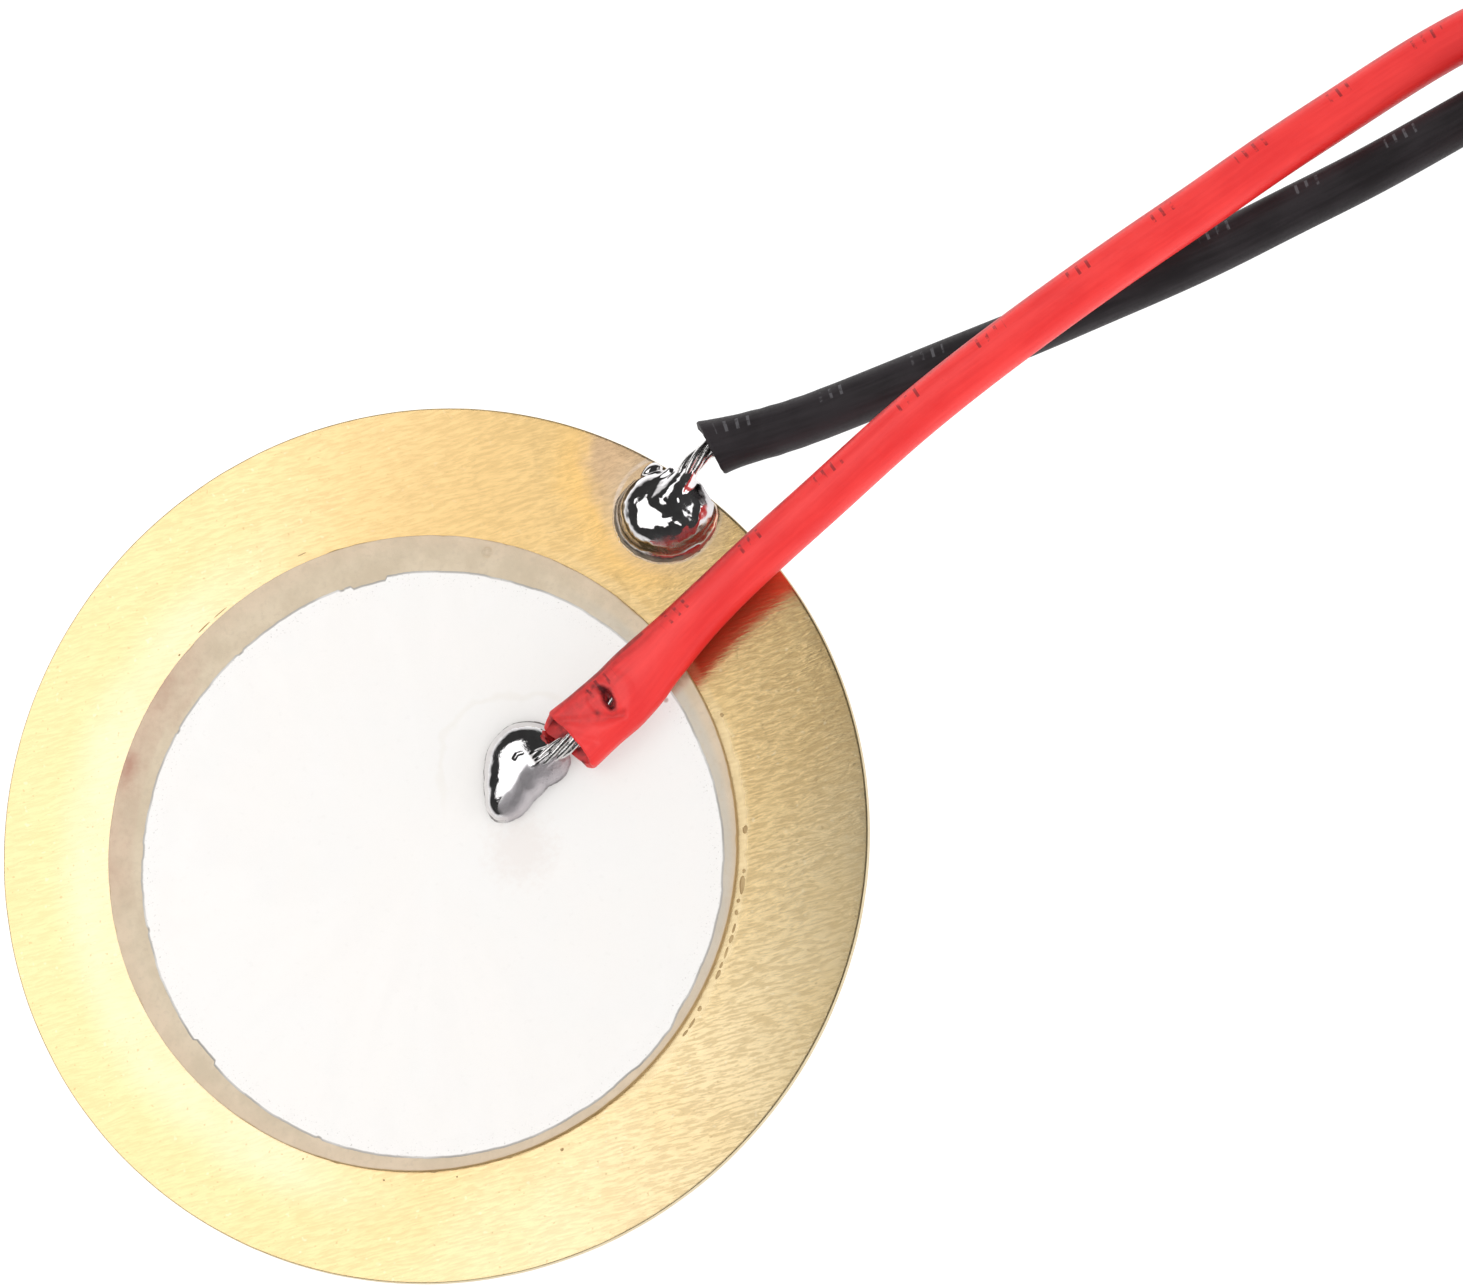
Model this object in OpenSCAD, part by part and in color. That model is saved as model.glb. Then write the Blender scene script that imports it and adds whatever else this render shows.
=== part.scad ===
// Piezo disc: a thin brass plate that carries a bonded piezoelectric ceramic
// disc, with one insulated lead soldered to the plate's rim and the other to
// the silver electrode. Lies flat on its brass side, millimetres, +Z up.
// Origin: centre of the plate's underside. The leads run towards +X.

/* [Brass plate] */
// Diameter of the brass plate
plate_d = 27; // [26.8:0.1:27.2]
// Thickness of the brass plate
plate_t = 0.30; // [0.28:0.01:0.32]

/* [Ceramic disc] */
// Thickness of the adhesive film under the ceramic
bond_t = 0.02; // [0.01:0.01:0.03]
// Extra radius of the adhesive film where it squeezed out
bond_squeeze = 0.08; // [0.02:0.02:0.12]
// Thickness of each fired silver electrode
electrode_t = 0.01; // [0.01:0.005:0.02]
// Diameter of the ceramic disc
ceramic_d = 19.7; // [19.5:0.1:19.9]
// Thickness of the ceramic disc
ceramic_t = 0.20; // [0.18:0.01:0.22]
// Diameter of the upper electrode, smaller than the ceramic
electrode_d = 18.2; // [17.8:0.1:18.4]
// Ceramic off the plate's centre, along X
ceramic_dx = -0.40; // [-0.5:0.05:0]
// Upper electrode off the plate's centre, along X
electrode_dx = -0.40; // [-0.5:0.05:0]
// Upper electrode off the plate's centre, along Y
electrode_dy = -0.50; // [-0.6:0.05:0]

/* [Solder joints] */
// Radius of the rim joint where it wets the plate
rim_joint_r = 1.60; // [1.5:0.05:1.65]
// Height of the rim joint above the plate
rim_joint_h = 1.05; // [0.9:0.05:1.15]
// Height of the centre joint above the electrode
centre_joint_h = 0.80; // [0.7:0.05:0.9]

/* [Leads] */
// Outer diameter of the insulated leads
lead_d = 1.50; // [1.4:0.05:1.5]
// Diameter of the stranded core
core_d = 0.60; // [0.5:0.05:0.65]
// Length of the tinned far ends
tinned_len = 4.0; // [3:0.5:5]

/* [Coil of spare lead] */
// Radius of the inner turns (black lead)
coil_r = 6.75; // [6.75:0.05:7]
// Distance from turn to turn, beside and above
coil_pitch = 1.60; // [1.56:0.02:1.64]
// Thickness of the wire tie's strip
tie_t = 0.20; // [0.15:0.05:0.25]
// Width of the wire tie's strip
tie_w = 1.50; // [1.2:0.1:1.5]

/* [Hidden] */

// heights of the stack
z_bond = plate_t;
z_low = z_bond + bond_t;
z_ceramic = z_low + electrode_t;
z_up = z_ceramic + ceramic_t;
z_top = z_up + electrode_t;

// rim joint: centre of its wetted circle, and where the rim cuts it off
rim_x = 11.7;
rim_y = 4.3;
rim_limit = plate_d / 2 - 0.08;

// centre joint: outline on the electrode
blob = [[4.9, 1.0], [4.5, 1.4], [4.1, 1.6], [3.6, 1.6], [3.1, 1.45],
        [2.7, 1.1], [2.4, 0.7], [2.1, 0.2], [1.9, -0.2], [1.95, -0.6],
        [2.3, -0.85], [2.8, -0.9], [3.3, -0.75], [3.9, -0.65],
        [4.5, -0.7], [4.9, -0.45], [5.05, 0.3]];
blob_c = [3.5, 0.35];

// routes of the leads, from the stripped end to the coil
lr = lead_d / 2;
coil_x = 46;
coil_y = -7.5;
z1 = lr;
z2 = lr + coil_pitch;
red_r = coil_r + coil_pitch;
y_in_black = coil_y + coil_r;
y_in_red = coil_y + red_r;
black_route = [
  [13.9, 4.9, 1.05], [15.0, 4.5, 0.95], [16.5, 4.0, 0.82], [18.0, 3.6, 0.75],
  [20.0, 3.1, 0.75], [22.0, 2.6, 0.75], [24.0, 2.1, 0.75], [26.0, 1.65, 0.75],
  [28.0, 1.2, 0.75], [30.0, 0.8, 0.75], [32.5, 0.4, 0.75], [35.0, 0.0, 0.75],
  [37.5, -0.3, 0.75], [40.0, -0.55, 0.75], [43.0, -0.7, 0.75],
  [46.0, -0.75, 0.75]];
red_route = [
  [5.4, -0.1, 1.32], [7.5, 0.1, 1.36], [9.0, 0.3, 1.42], [10.5, 0.65, 1.5],
  [13.0, 1.05, 1.7], [16.0, 1.35, 1.9], [19.0, 1.65, 2.1], [22.0, 1.8, 2.27],
  [25.0, 1.85, 2.32], [28.0, 1.85, 2.25], [30.5, 1.85, 2.02],
  [33.0, 1.9, 1.68], [35.5, 1.9, 1.25], [38.0, 1.85, 0.95],
  [40.5, 1.6, 0.78], [43.0, 1.1, 0.75], [46.0, 0.85, 0.75]];

// turns, in degrees clockwise from the point where the leads join the coil
climb_a = 240;
climb_b = 305;
black_end = 535;
red_end = 380;
tie_at = 8;

function unit(v) = v / norm(v);
// direction of a route at point i; it meets the coil along +X
function dir(p, i) =
  i == len(p) - 1 ? [1, 0, 0] :
  i == 0 ? unit(p[1] - p[0]) : unit(p[i + 1] - p[i - 1]);
// eight-sided ring round point i, a flat side down
function ring(p, i, r) =
  let (t = dir(p, i), s = unit(cross(t, [0, 0, 1])), u = cross(s, t))
  [for (k = [0:7]) let (a = 45 * k + 22.5) p[i] + r * (cos(a) * s + sin(a) * u)];
function tube_points(p, r) = [for (i = [0:len(p) - 1]) each ring(p, i, r)];

// a tube swept along a route's own points
module tube(p, r) {
  n = len(p);
  polyhedron(
    points = tube_points(p, r),
    faces = concat(
      [[for (k = [7:-1:0]) k]],
      [for (i = [0:n - 2]) for (k = [0:7])
        [8 * i + (k + 1) % 8, 8 * (i + 1) + (k + 1) % 8, 8 * (i + 1) + k, 8 * i + k]],
      [[for (k = [0:7]) 8 * (n - 1) + k]]),
    convexity = 6);
}

// a round rod from a to b
module rod(a, b, r) {
  v = b - a;
  translate(a)
    rotate([0, acos(v[2] / norm(v)), atan2(v[1], v[0])])
      cylinder(h = norm(v), r = r, $fn = 32);
}

// part of a turn, from angle a to angle b clockwise from the joining point
module turn(a, b) {
  rotate([0, 0, 90 - b]) rotate_extrude(angle = b - a, $fn = 96) children();
}

// one lead's turns: along the floor, up before its own entry, then on top;
// the web fills the stretch where the lead climbs
module turns(r, end_at) {
  translate([coil_x, coil_y, 0]) {
    turn(0, climb_b) translate([r, z1]) circle(r = lr, $fn = 32);
    turn(climb_a, end_at) translate([r, z2]) circle(r = lr, $fn = 32);
    turn(climb_a + 1, climb_b - 1)
      translate([r - 0.86 * lr, z1]) square([1.72 * lr, coil_pitch]);
  }
}

// the tie's strip round the bundle of turns
module tie_strip() {
  ri = coil_r - lr;
  ro = red_r + lr;
  zt = z2 + lr;
  translate([coil_x, coil_y, 0]) rotate([0, 0, 90 - tie_at])
    difference() {
      translate([ri - tie_t / 2, -tie_w / 2, 0])
        cube([ro - ri + tie_t, tie_w, zt + tie_t / 2]);
      translate([ri + tie_t / 2, -tie_w, tie_t])
        cube([ro - ri - tie_t, 2 * tie_w, zt - 1.5 * tie_t]);
    }
}

// the tie's twisted ends, lying on the floor outside the coil
module tie_twist() {
  ro = red_r + lr + tie_t / 2;
  translate([coil_x, coil_y, 0]) rotate([0, 0, 90 - tie_at]) {
    translate([ro, 0, 0.45]) rotate([0, 90, 0]) cylinder(h = 2.6, r = 0.45, $fn = 24);
    for (s = [-1, 1])
      translate([ro + 2.4, 0, 0.3]) rotate([0, 0, 28 * s])
        cube([2.2, 0.7, 0.22]);
  }
}

// everything past the stripped end of a lead
module past_end(p) {
  v = dir(p, 0);
  translate(p[0]) rotate([0, acos(v[2]), atan2(v[1], v[0])])
    translate([-3, -3, 0]) cube([6, 6, 4]);
}

// the bare core between a joint and the insulation
module black_core_rod() {
  rod([12.6, 4.62, 1.12], [14.3, 4.84, 1.10], core_d / 2);
}

module red_core_rod() {
  rod([4.2, -0.02, 1.0], [5.9, -0.36, 1.24], core_d / 2);
}

module brass_plate()
  color([0.85, 0.70, 0.38]) cylinder(h = plate_t, d = plate_d, $fn = 128);

module bond_layer()
  color([0.72, 0.60, 0.40]) translate([ceramic_dx, 0, z_bond])
    cylinder(h = bond_t, r = ceramic_d / 2 + bond_squeeze, $fn = 128);

module lower_electrode()
  color([0.80, 0.79, 0.76]) translate([ceramic_dx, 0, z_low])
    cylinder(h = electrode_t, d = ceramic_d, $fn = 128);

module ceramic_disc()
  color([0.84, 0.78, 0.68]) translate([ceramic_dx, 0, z_ceramic])
    cylinder(h = ceramic_t, d = ceramic_d, $fn = 128);

module upper_electrode()
  color([0.95, 0.94, 0.92]) translate([electrode_dx, electrode_dy, z_up])
    cylinder(h = electrode_t, d = electrode_d, $fn = 128);

// a wetted foot that sweeps up into a round bead, with a horn along the core
module rim_solder_joint() color([0.62, 0.62, 0.62]) difference() {
  union() {
    intersection() {
      translate([rim_x, rim_y, plate_t]) rotate_extrude($fn = 64)
        polygon([[0, 0], [rim_joint_r, 0], [rim_joint_r - 0.12, 0.10],
                 [rim_joint_r - 0.28, 0.26], [rim_joint_r - 0.38, 0.48],
                 [rim_joint_r - 0.55, 0.72], [rim_joint_r - 0.85, 0.92],
                 [rim_joint_r - 1.20, rim_joint_h - 0.02], [0, rim_joint_h]]);
      cylinder(h = 3, r = rim_limit, $fn = 128);
    }
    hull() {
      translate([12.3, 4.5, 0.9]) sphere(r = 0.48, $fn = 24);
      translate([12.95, 4.72, 1.12]) sphere(r = 0.36, $fn = 24);
    }
  }
  black_core_rod();
}

// a leaf-shaped bead, rounded on top
module centre_solder_joint() color([0.62, 0.62, 0.62]) difference() {
  hull() {
    translate([0, 0, z_top]) linear_extrude(0.06) polygon(blob);
    translate([blob_c[0], blob_c[1], z_top + 0.45 * centre_joint_h])
      linear_extrude(0.02) scale(0.80) translate(-blob_c) polygon(blob);
    translate([blob_c[0], blob_c[1], z_top + centre_joint_h - 0.02])
      linear_extrude(0.02) scale(0.36) translate(-blob_c) polygon(blob);
  }
  red_core_rod();
}

module black_conductor() color([0.75, 0.74, 0.72]) difference() {
  black_core_rod();
  past_end(black_route);
}

module red_conductor() color([0.75, 0.74, 0.72]) difference() {
  red_core_rod();
  past_end(red_route);
}

module black_lead() color([0.12, 0.11, 0.12]) tube(black_route, lr + 0.04);

module red_lead() color([0.90, 0.15, 0.14]) tube(red_route, lr + 0.04);

module black_lead_coil() color([0.12, 0.11, 0.12]) difference() {
  turns(coil_r, black_end);
  tie_strip();
}

module red_lead_coil() color([0.90, 0.15, 0.14]) difference() {
  turns(red_r, red_end);
  tie_strip();
}

module tinned_end(r, at) {
  translate([coil_x + r * sin(at), coil_y + r * cos(at), z2])
    rotate([0, 90, -at]) cylinder(h = tinned_len, d = core_d, $fn = 32);
}

module black_tinned_end() color([0.75, 0.74, 0.72]) tinned_end(coil_r, black_end);

module red_tinned_end() color([0.75, 0.74, 0.72]) tinned_end(red_r, red_end);

module coil_tie() color([0.92, 0.92, 0.90]) union() {
  tie_strip();
  tie_twist();
}

brass_plate();
bond_layer();
lower_electrode();
ceramic_disc();
upper_electrode();
rim_solder_joint();
centre_solder_joint();
black_conductor();
red_conductor();
black_lead();
red_lead();
black_lead_coil();
red_lead_coil();
black_tinned_end();
red_tinned_end();
coil_tie();
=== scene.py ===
import math

import bpy
import numpy as np
from mathutils import Matrix, Vector


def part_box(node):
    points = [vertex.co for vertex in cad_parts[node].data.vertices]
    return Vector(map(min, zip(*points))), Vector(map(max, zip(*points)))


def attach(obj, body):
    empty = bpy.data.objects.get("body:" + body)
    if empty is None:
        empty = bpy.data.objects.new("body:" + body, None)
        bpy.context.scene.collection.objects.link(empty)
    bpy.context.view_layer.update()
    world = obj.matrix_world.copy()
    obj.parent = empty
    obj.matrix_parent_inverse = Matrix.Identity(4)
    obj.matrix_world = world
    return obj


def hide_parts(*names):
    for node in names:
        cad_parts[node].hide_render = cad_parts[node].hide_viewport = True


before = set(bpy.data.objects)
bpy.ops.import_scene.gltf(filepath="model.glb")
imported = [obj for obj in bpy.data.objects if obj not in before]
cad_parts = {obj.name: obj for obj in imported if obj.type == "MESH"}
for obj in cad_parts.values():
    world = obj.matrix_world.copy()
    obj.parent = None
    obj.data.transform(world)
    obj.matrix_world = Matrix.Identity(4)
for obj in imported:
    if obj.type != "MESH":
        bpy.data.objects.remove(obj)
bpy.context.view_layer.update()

MM = 0.001
PLATE = [np.array(c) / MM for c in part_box("brass_plate")]
CERAMIC = [np.array(c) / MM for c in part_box("ceramic_disc")]
FILM = [np.array(c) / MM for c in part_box("upper_electrode")]
RIM = [np.array(c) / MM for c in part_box("rim_solder_joint")]
BEAD = [np.array(c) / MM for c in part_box("centre_solder_joint")]
PLATE_C = (PLATE[0] + PLATE[1]) / 2
PLATE_R = (PLATE[1][0] - PLATE[0][0]) / 2
PLATE_TOP = PLATE[1][2]
# the fired disc comes out a hair under its nominal size and sits a hair off
CER_C = (CERAMIC[0] + CERAMIC[1]) / 2 + np.array([-0.045, -0.01, 0.0])
CER_R = (CERAMIC[1][0] - CERAMIC[0][0]) / 2 - 0.04
CER_LOW, CER_TOP = CERAMIC[0][2], CERAMIC[1][2]
FILM_C = (FILM[0] + FILM[1]) / 2
FILM_R = (FILM[1][0] - FILM[0][0]) / 2
FILM_TOP = FILM[1][2]
RIM_C = np.array([RIM[0][0] + 1.6, RIM[0][1] + 1.6])
BEAD_C = np.array([3.5, 0.35])

# ------------------------------------------------------------------ camera

M_AXIS = np.array([0.953068, 0.302756, 0.0])
N_AXIS = np.array([0.302756, -0.953068, 0.0])
TILT = math.radians(14.8996)
N_SEEN = math.cos(TILT) * N_AXIS - math.sin(TILT) * np.array([0, 0, 1.0])
ROLL = math.radians(52.6985)
RIGHT = math.cos(ROLL) * M_AXIS + math.sin(ROLL) * N_SEEN
UP = math.sin(ROLL) * M_AXIS - math.cos(ROLL) * N_SEEN
BACK = math.sin(TILT) * N_AXIS + math.cos(TILT) * np.array([0, 0, 1.0])
TARGET = np.array([10.9636, -0.3029, 0.30]) + PLATE_C * np.array([1, 1, 0])
DISTANCE = 1000.0

cam_data = bpy.data.cameras.new("camera")
cam = bpy.data.objects.new("camera", cam_data)
bpy.context.scene.collection.objects.link(cam)
cam_data.sensor_fit = "HORIZONTAL"
cam_data.sensor_width = 36
cam_data.lens = 36 * DISTANCE / 44.5733
cam_data.clip_start, cam_data.clip_end = 0.01, 10
place = Matrix([[*map(float, (RIGHT[k], UP[k], BACK[k], (TARGET + DISTANCE * BACK)[k] * MM))] for k in range(3)] + [[0, 0, 0, 1]])
cam.matrix_world = place
bpy.context.scene.camera = cam

# ------------------------------------------------------------------ numbers


def sstep(a, b, x):
    t = np.clip((np.asarray(x, float) - a) / (b - a), 0, 1)
    return t * t * (3 - 2 * t)


def hash01(i, seed):
    h = (i[..., 0].astype(np.uint64) * np.uint64(0x9E3779B97F4A7C15)
         + i[..., 1].astype(np.uint64) * np.uint64(0xC2B2AE3D27D4EB4F)
         + i[..., 2].astype(np.uint64) * np.uint64(0x165667B19E3779F9)
         + np.uint64(seed * 2654435761 + 12345))
    h ^= h >> np.uint64(29)
    h *= np.uint64(0xBF58476D1CE4E5B9)
    h ^= h >> np.uint64(32)
    h *= np.uint64(0x94D049BB133111EB)
    h ^= h >> np.uint64(30)
    return (h >> np.uint64(11)).astype(float) / float(1 << 53)


def vnoise(p, scale, seed=0):
    """Smooth noise from -1 to 1 at the points p, with features about 1/scale mm apart."""
    q = np.asarray(p, float) * scale + 1000.0
    i = np.floor(q).astype(np.int64)
    f = q - i
    u = f * f * f * (f * (f * 6 - 15) + 10)
    out = np.zeros(len(q))
    for a in (0, 1):
        for b in (0, 1):
            for c in (0, 1):
                w = ((u[:, 0] if a else 1 - u[:, 0]) * (u[:, 1] if b else 1 - u[:, 1])
                     * (u[:, 2] if c else 1 - u[:, 2]))
                out += w * hash01(i + np.array([a, b, c]), seed)
    return out * 2 - 1


def fbm(p, scale, octaves=3, seed=0):
    out, amp, total = 0.0, 1.0, 0.0
    for k in range(octaves):
        out = out + amp * vnoise(p, scale * 2 ** k, seed + 17 * k)
        total += amp
        amp *= 0.5
    return out / total


def line_noise(t, scale, seed, octaves=2):
    t = np.asarray(t, float)
    return fbm(np.stack([t, 0 * t + 3.3, 0 * t + 7.7], 1), scale, octaves, seed)


def ring_noise(theta, r, scale, seed, octaves=2):
    theta = np.asarray(theta, float)
    p = np.stack([r * np.cos(theta), r * np.sin(theta), 0 * theta + 1.7], 1)
    return fbm(p, scale, octaves, seed)


def smin(a, b, k):
    h = np.maximum(k - np.abs(a - b), 0) / k
    return np.minimum(a, b) - h * h * k * 0.25


def natural_spline(points):
    """Second derivatives of the natural cubic spline through the points, by chord length."""
    p = np.asarray(points, float)
    t = np.concatenate([[0], np.cumsum(np.linalg.norm(np.diff(p, axis=0), axis=1))])
    n, h = len(p), np.diff(t)
    a, b = np.zeros((n, n)), np.zeros((n, p.shape[1]))
    a[0, 0] = a[-1, -1] = 1
    for i in range(1, n - 1):
        a[i, i - 1], a[i, i], a[i, i + 1] = h[i - 1], 2 * (h[i - 1] + h[i]), h[i]
        b[i] = 6 * ((p[i + 1] - p[i]) / h[i] - (p[i] - p[i - 1]) / h[i - 1])
    return p, t, np.linalg.solve(a, b)


def spline_at(spline, x):
    p, t, m = spline
    x = np.clip(x, t[0], t[-1])
    i = np.clip(np.searchsorted(t, x, side="right") - 1, 0, len(t) - 2)
    h = (t[i + 1] - t[i])[:, None]
    a, b = (t[i + 1] - x)[:, None], (x - t[i])[:, None]
    return (m[i] * a ** 3 / (6 * h) + m[i + 1] * b ** 3 / (6 * h)
            + (p[i] / h - m[i] * h / 6) * a + (p[i + 1] / h - m[i + 1] * h / 6) * b)


class Line:
    """A smooth curve through points, read by its length from the first one, in mm."""

    def __init__(self, points, dense=0.02):
        s = natural_spline(points)
        x = np.linspace(0, s[1][-1], max(50, int(s[1][-1] / dense)))
        self.p = spline_at(s, x)
        self.s = np.concatenate([[0], np.cumsum(np.linalg.norm(np.diff(self.p, axis=0), axis=1))])
        self.length = self.s[-1]

    def at(self, s):
        s = np.asarray(s, float)
        base = np.stack([np.interp(s, self.s, self.p[:, k]) for k in range(3)], 1)
        d0, d1 = self.tangent(np.array([0.0]))[0], self.tangent(np.array([self.length]))[0]
        base += np.minimum(s, 0)[:, None] * d0 + np.maximum(s - self.length, 0)[:, None] * d1
        return base

    def tangent(self, s):
        s, e = np.clip(np.asarray(s, float), 0, self.length), 0.05
        a, b = np.clip(s - e, 0, self.length), np.clip(s + e, 0, self.length)
        d = np.stack([np.interp(b, self.s, self.p[:, k]) - np.interp(a, self.s, self.p[:, k]) for k in range(3)], 1)
        return d / np.linalg.norm(d, axis=1)[:, None]

    def axes(self, s):
        t = self.tangent(s)
        side = np.cross(t, np.array([0, 0, 1.0]))
        side /= np.linalg.norm(side, axis=1)[:, None]
        return t, side, np.cross(side, t)


# ------------------------------------------------------------------ meshes


def make(name, verts, quads=None, tris=None, materials=(), index=None, attrs=None, sharp=None, body="root", slot=None):
    """A mesh piece from points in mm. quads and tris are index arrays; attrs are point values."""
    verts = np.asarray(verts, float)
    groups = [np.asarray(g, np.int32) for g in (quads, tris) if g is not None and len(g)]
    loops = np.concatenate([g.ravel() for g in groups]).astype(np.int32)
    sizes = np.concatenate([np.full(len(g), g.shape[1], np.int32) for g in groups])
    starts = np.concatenate([[0], np.cumsum(sizes)[:-1]]).astype(np.int32)
    mesh = bpy.data.meshes.new(name)
    mesh.vertices.add(len(verts))
    mesh.vertices.foreach_set("co", (verts * MM).astype(np.float32).ravel())
    mesh.loops.add(len(loops))
    mesh.loops.foreach_set("vertex_index", loops)
    mesh.polygons.add(len(sizes))
    mesh.polygons.foreach_set("loop_start", starts)
    mesh.polygons.foreach_set("loop_total", sizes)
    if index is not None:
        mesh.polygons.foreach_set("material_index", np.asarray(index, np.int32))
    mesh.update(calc_edges=True)
    mesh.validate()
    for key, values in (attrs or {}).items():
        a = mesh.attributes.new(key, "FLOAT", "POINT")
        a.data.foreach_set("value", np.asarray(values, np.float32))
    mesh.shade_smooth()
    if sharp is not None:
        mesh.set_sharp_from_angle(angle=math.radians(sharp))
    obj = bpy.data.objects.new(name, mesh)
    bpy.context.scene.collection.objects.link(obj)
    for m in materials:
        obj.data.materials.append(m)
    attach(obj, body)
    return obj


def ring_quads(rows, cols, start=0, closed_cols=True):
    """Quads between rows of points that each hold cols points, going round."""
    r = np.arange(rows - 1)[:, None]
    c = np.arange(cols if closed_cols else cols - 1)[None, :]
    a = start + r * cols + c
    b = start + r * cols + (c + 1) % cols
    return np.stack([a, b, b + cols, a + cols], -1).reshape(-1, 4)


def fan(centre, first, cols, flip=False):
    c = np.arange(cols)
    t = np.stack([np.full(cols, centre), first + c, first + (c + 1) % cols], 1)
    return t[:, ::-1] if flip else t


class Pile:
    """Collects the parts of one mesh."""

    def __init__(self):
        self.v, self.q, self.t, self.a, self.n = [], [], [], {}, 0

    def add(self, verts, quads=None, tris=None, **attrs):
        verts = np.asarray(verts, float)
        if quads is not None and len(quads):
            self.q.append(np.asarray(quads) + self.n)
        if tris is not None and len(tris):
            self.t.append(np.asarray(tris) + self.n)
        for k, x in attrs.items():
            self.a.setdefault(k, []).append(np.asarray(x, float))
        self.v.append(verts)
        self.n += len(verts)

    def build(self, name, **kw):
        return make(name, np.concatenate(self.v), np.concatenate(self.q) if self.q else None,
                    np.concatenate(self.t) if self.t else None,
                    attrs={k: np.concatenate(x) for k, x in self.a.items()}, **kw)


def surface_nets(f, lo, hi, h):
    """The closed surface where f crosses zero, as points and quads that face out."""
    lo, hi = np.asarray(lo, float), np.asarray(hi, float)
    n = np.ceil((hi - lo) / h).astype(int) + 1
    ax = [lo[k] + h * np.arange(n[k]) for k in range(3)]
    g = np.stack(np.meshgrid(*ax, indexing="ij"), -1)
    F = f(g.reshape(-1, 3)).reshape(n)
    sgn = F < 0
    acc = np.zeros(tuple(n - 1) + (3,))
    cnt = np.zeros(tuple(n - 1))
    for a in range(3):
        b, c = [k for k in range(3) if k != a]
        s0 = [slice(None)] * 3
        s1 = [slice(None)] * 3
        s0[a], s1[a] = slice(0, n[a] - 1), slice(1, n[a])
        f0, f1 = F[tuple(s0)], F[tuple(s1)]
        cross = sgn[tuple(s0)] != sgn[tuple(s1)]
        t = np.where(cross, f0 / np.where(np.abs(f0 - f1) < 1e-12, 1, f0 - f1), 0)
        pos = g[tuple(s0)].copy()
        pos[..., a] += t * h
        for db in (0, 1):
            for dc in (0, 1):
                s = [slice(None)] * 3
                s[b] = slice(db, n[b] - 1 + db)
                s[c] = slice(dc, n[c] - 1 + dc)
                m = cross[tuple(s)]
                acc += np.where(m[..., None], pos[tuple(s)], 0)
                cnt += m
    mask = cnt > 0
    idx = -np.ones(tuple(n - 1), int)
    idx[mask] = np.arange(mask.sum())
    verts = acc[mask] / cnt[mask][:, None]
    quads = []
    for a in range(3):
        b, c = (a + 1) % 3, (a + 2) % 3
        s0 = [slice(1, n[k] - 1) for k in range(3)]
        s1 = [slice(1, n[k] - 1) for k in range(3)]
        s0[a], s1[a] = slice(0, n[a] - 1), slice(1, n[a])
        cross = sgn[tuple(s0)] != sgn[tuple(s1)]
        where = np.argwhere(cross)
        if not len(where):
            continue
        up = sgn[tuple(s0)][cross]
        base = where.copy()
        for k in range(3):
            if k != a:
                base[:, k] += 1
        cells = []
        for db, dc in ((0, 0), (1, 0), (1, 1), (0, 1)):
            w = base.copy()
            w[:, b] -= 1 - db
            w[:, c] -= 1 - dc
            cells.append(idx[w[:, 0], w[:, 1], w[:, 2]])
        q = np.stack(cells, 1)
        q[~up] = q[~up][:, ::-1]
        quads.append(q)
    return verts, np.concatenate(quads)


def settle(P, f, steps=3, eps=0.004):
    for _ in range(steps):
        F = f(P)
        G = np.stack([(f(P + e) - f(P - e)) / (2 * eps) for e in np.eye(3) * eps], 1)
        P = P - (np.clip(F, -0.03, 0.03) / np.maximum((G * G).sum(1), 0.25))[:, None] * G
    return P


# ------------------------------------------------------------------ shader nodes


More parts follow.
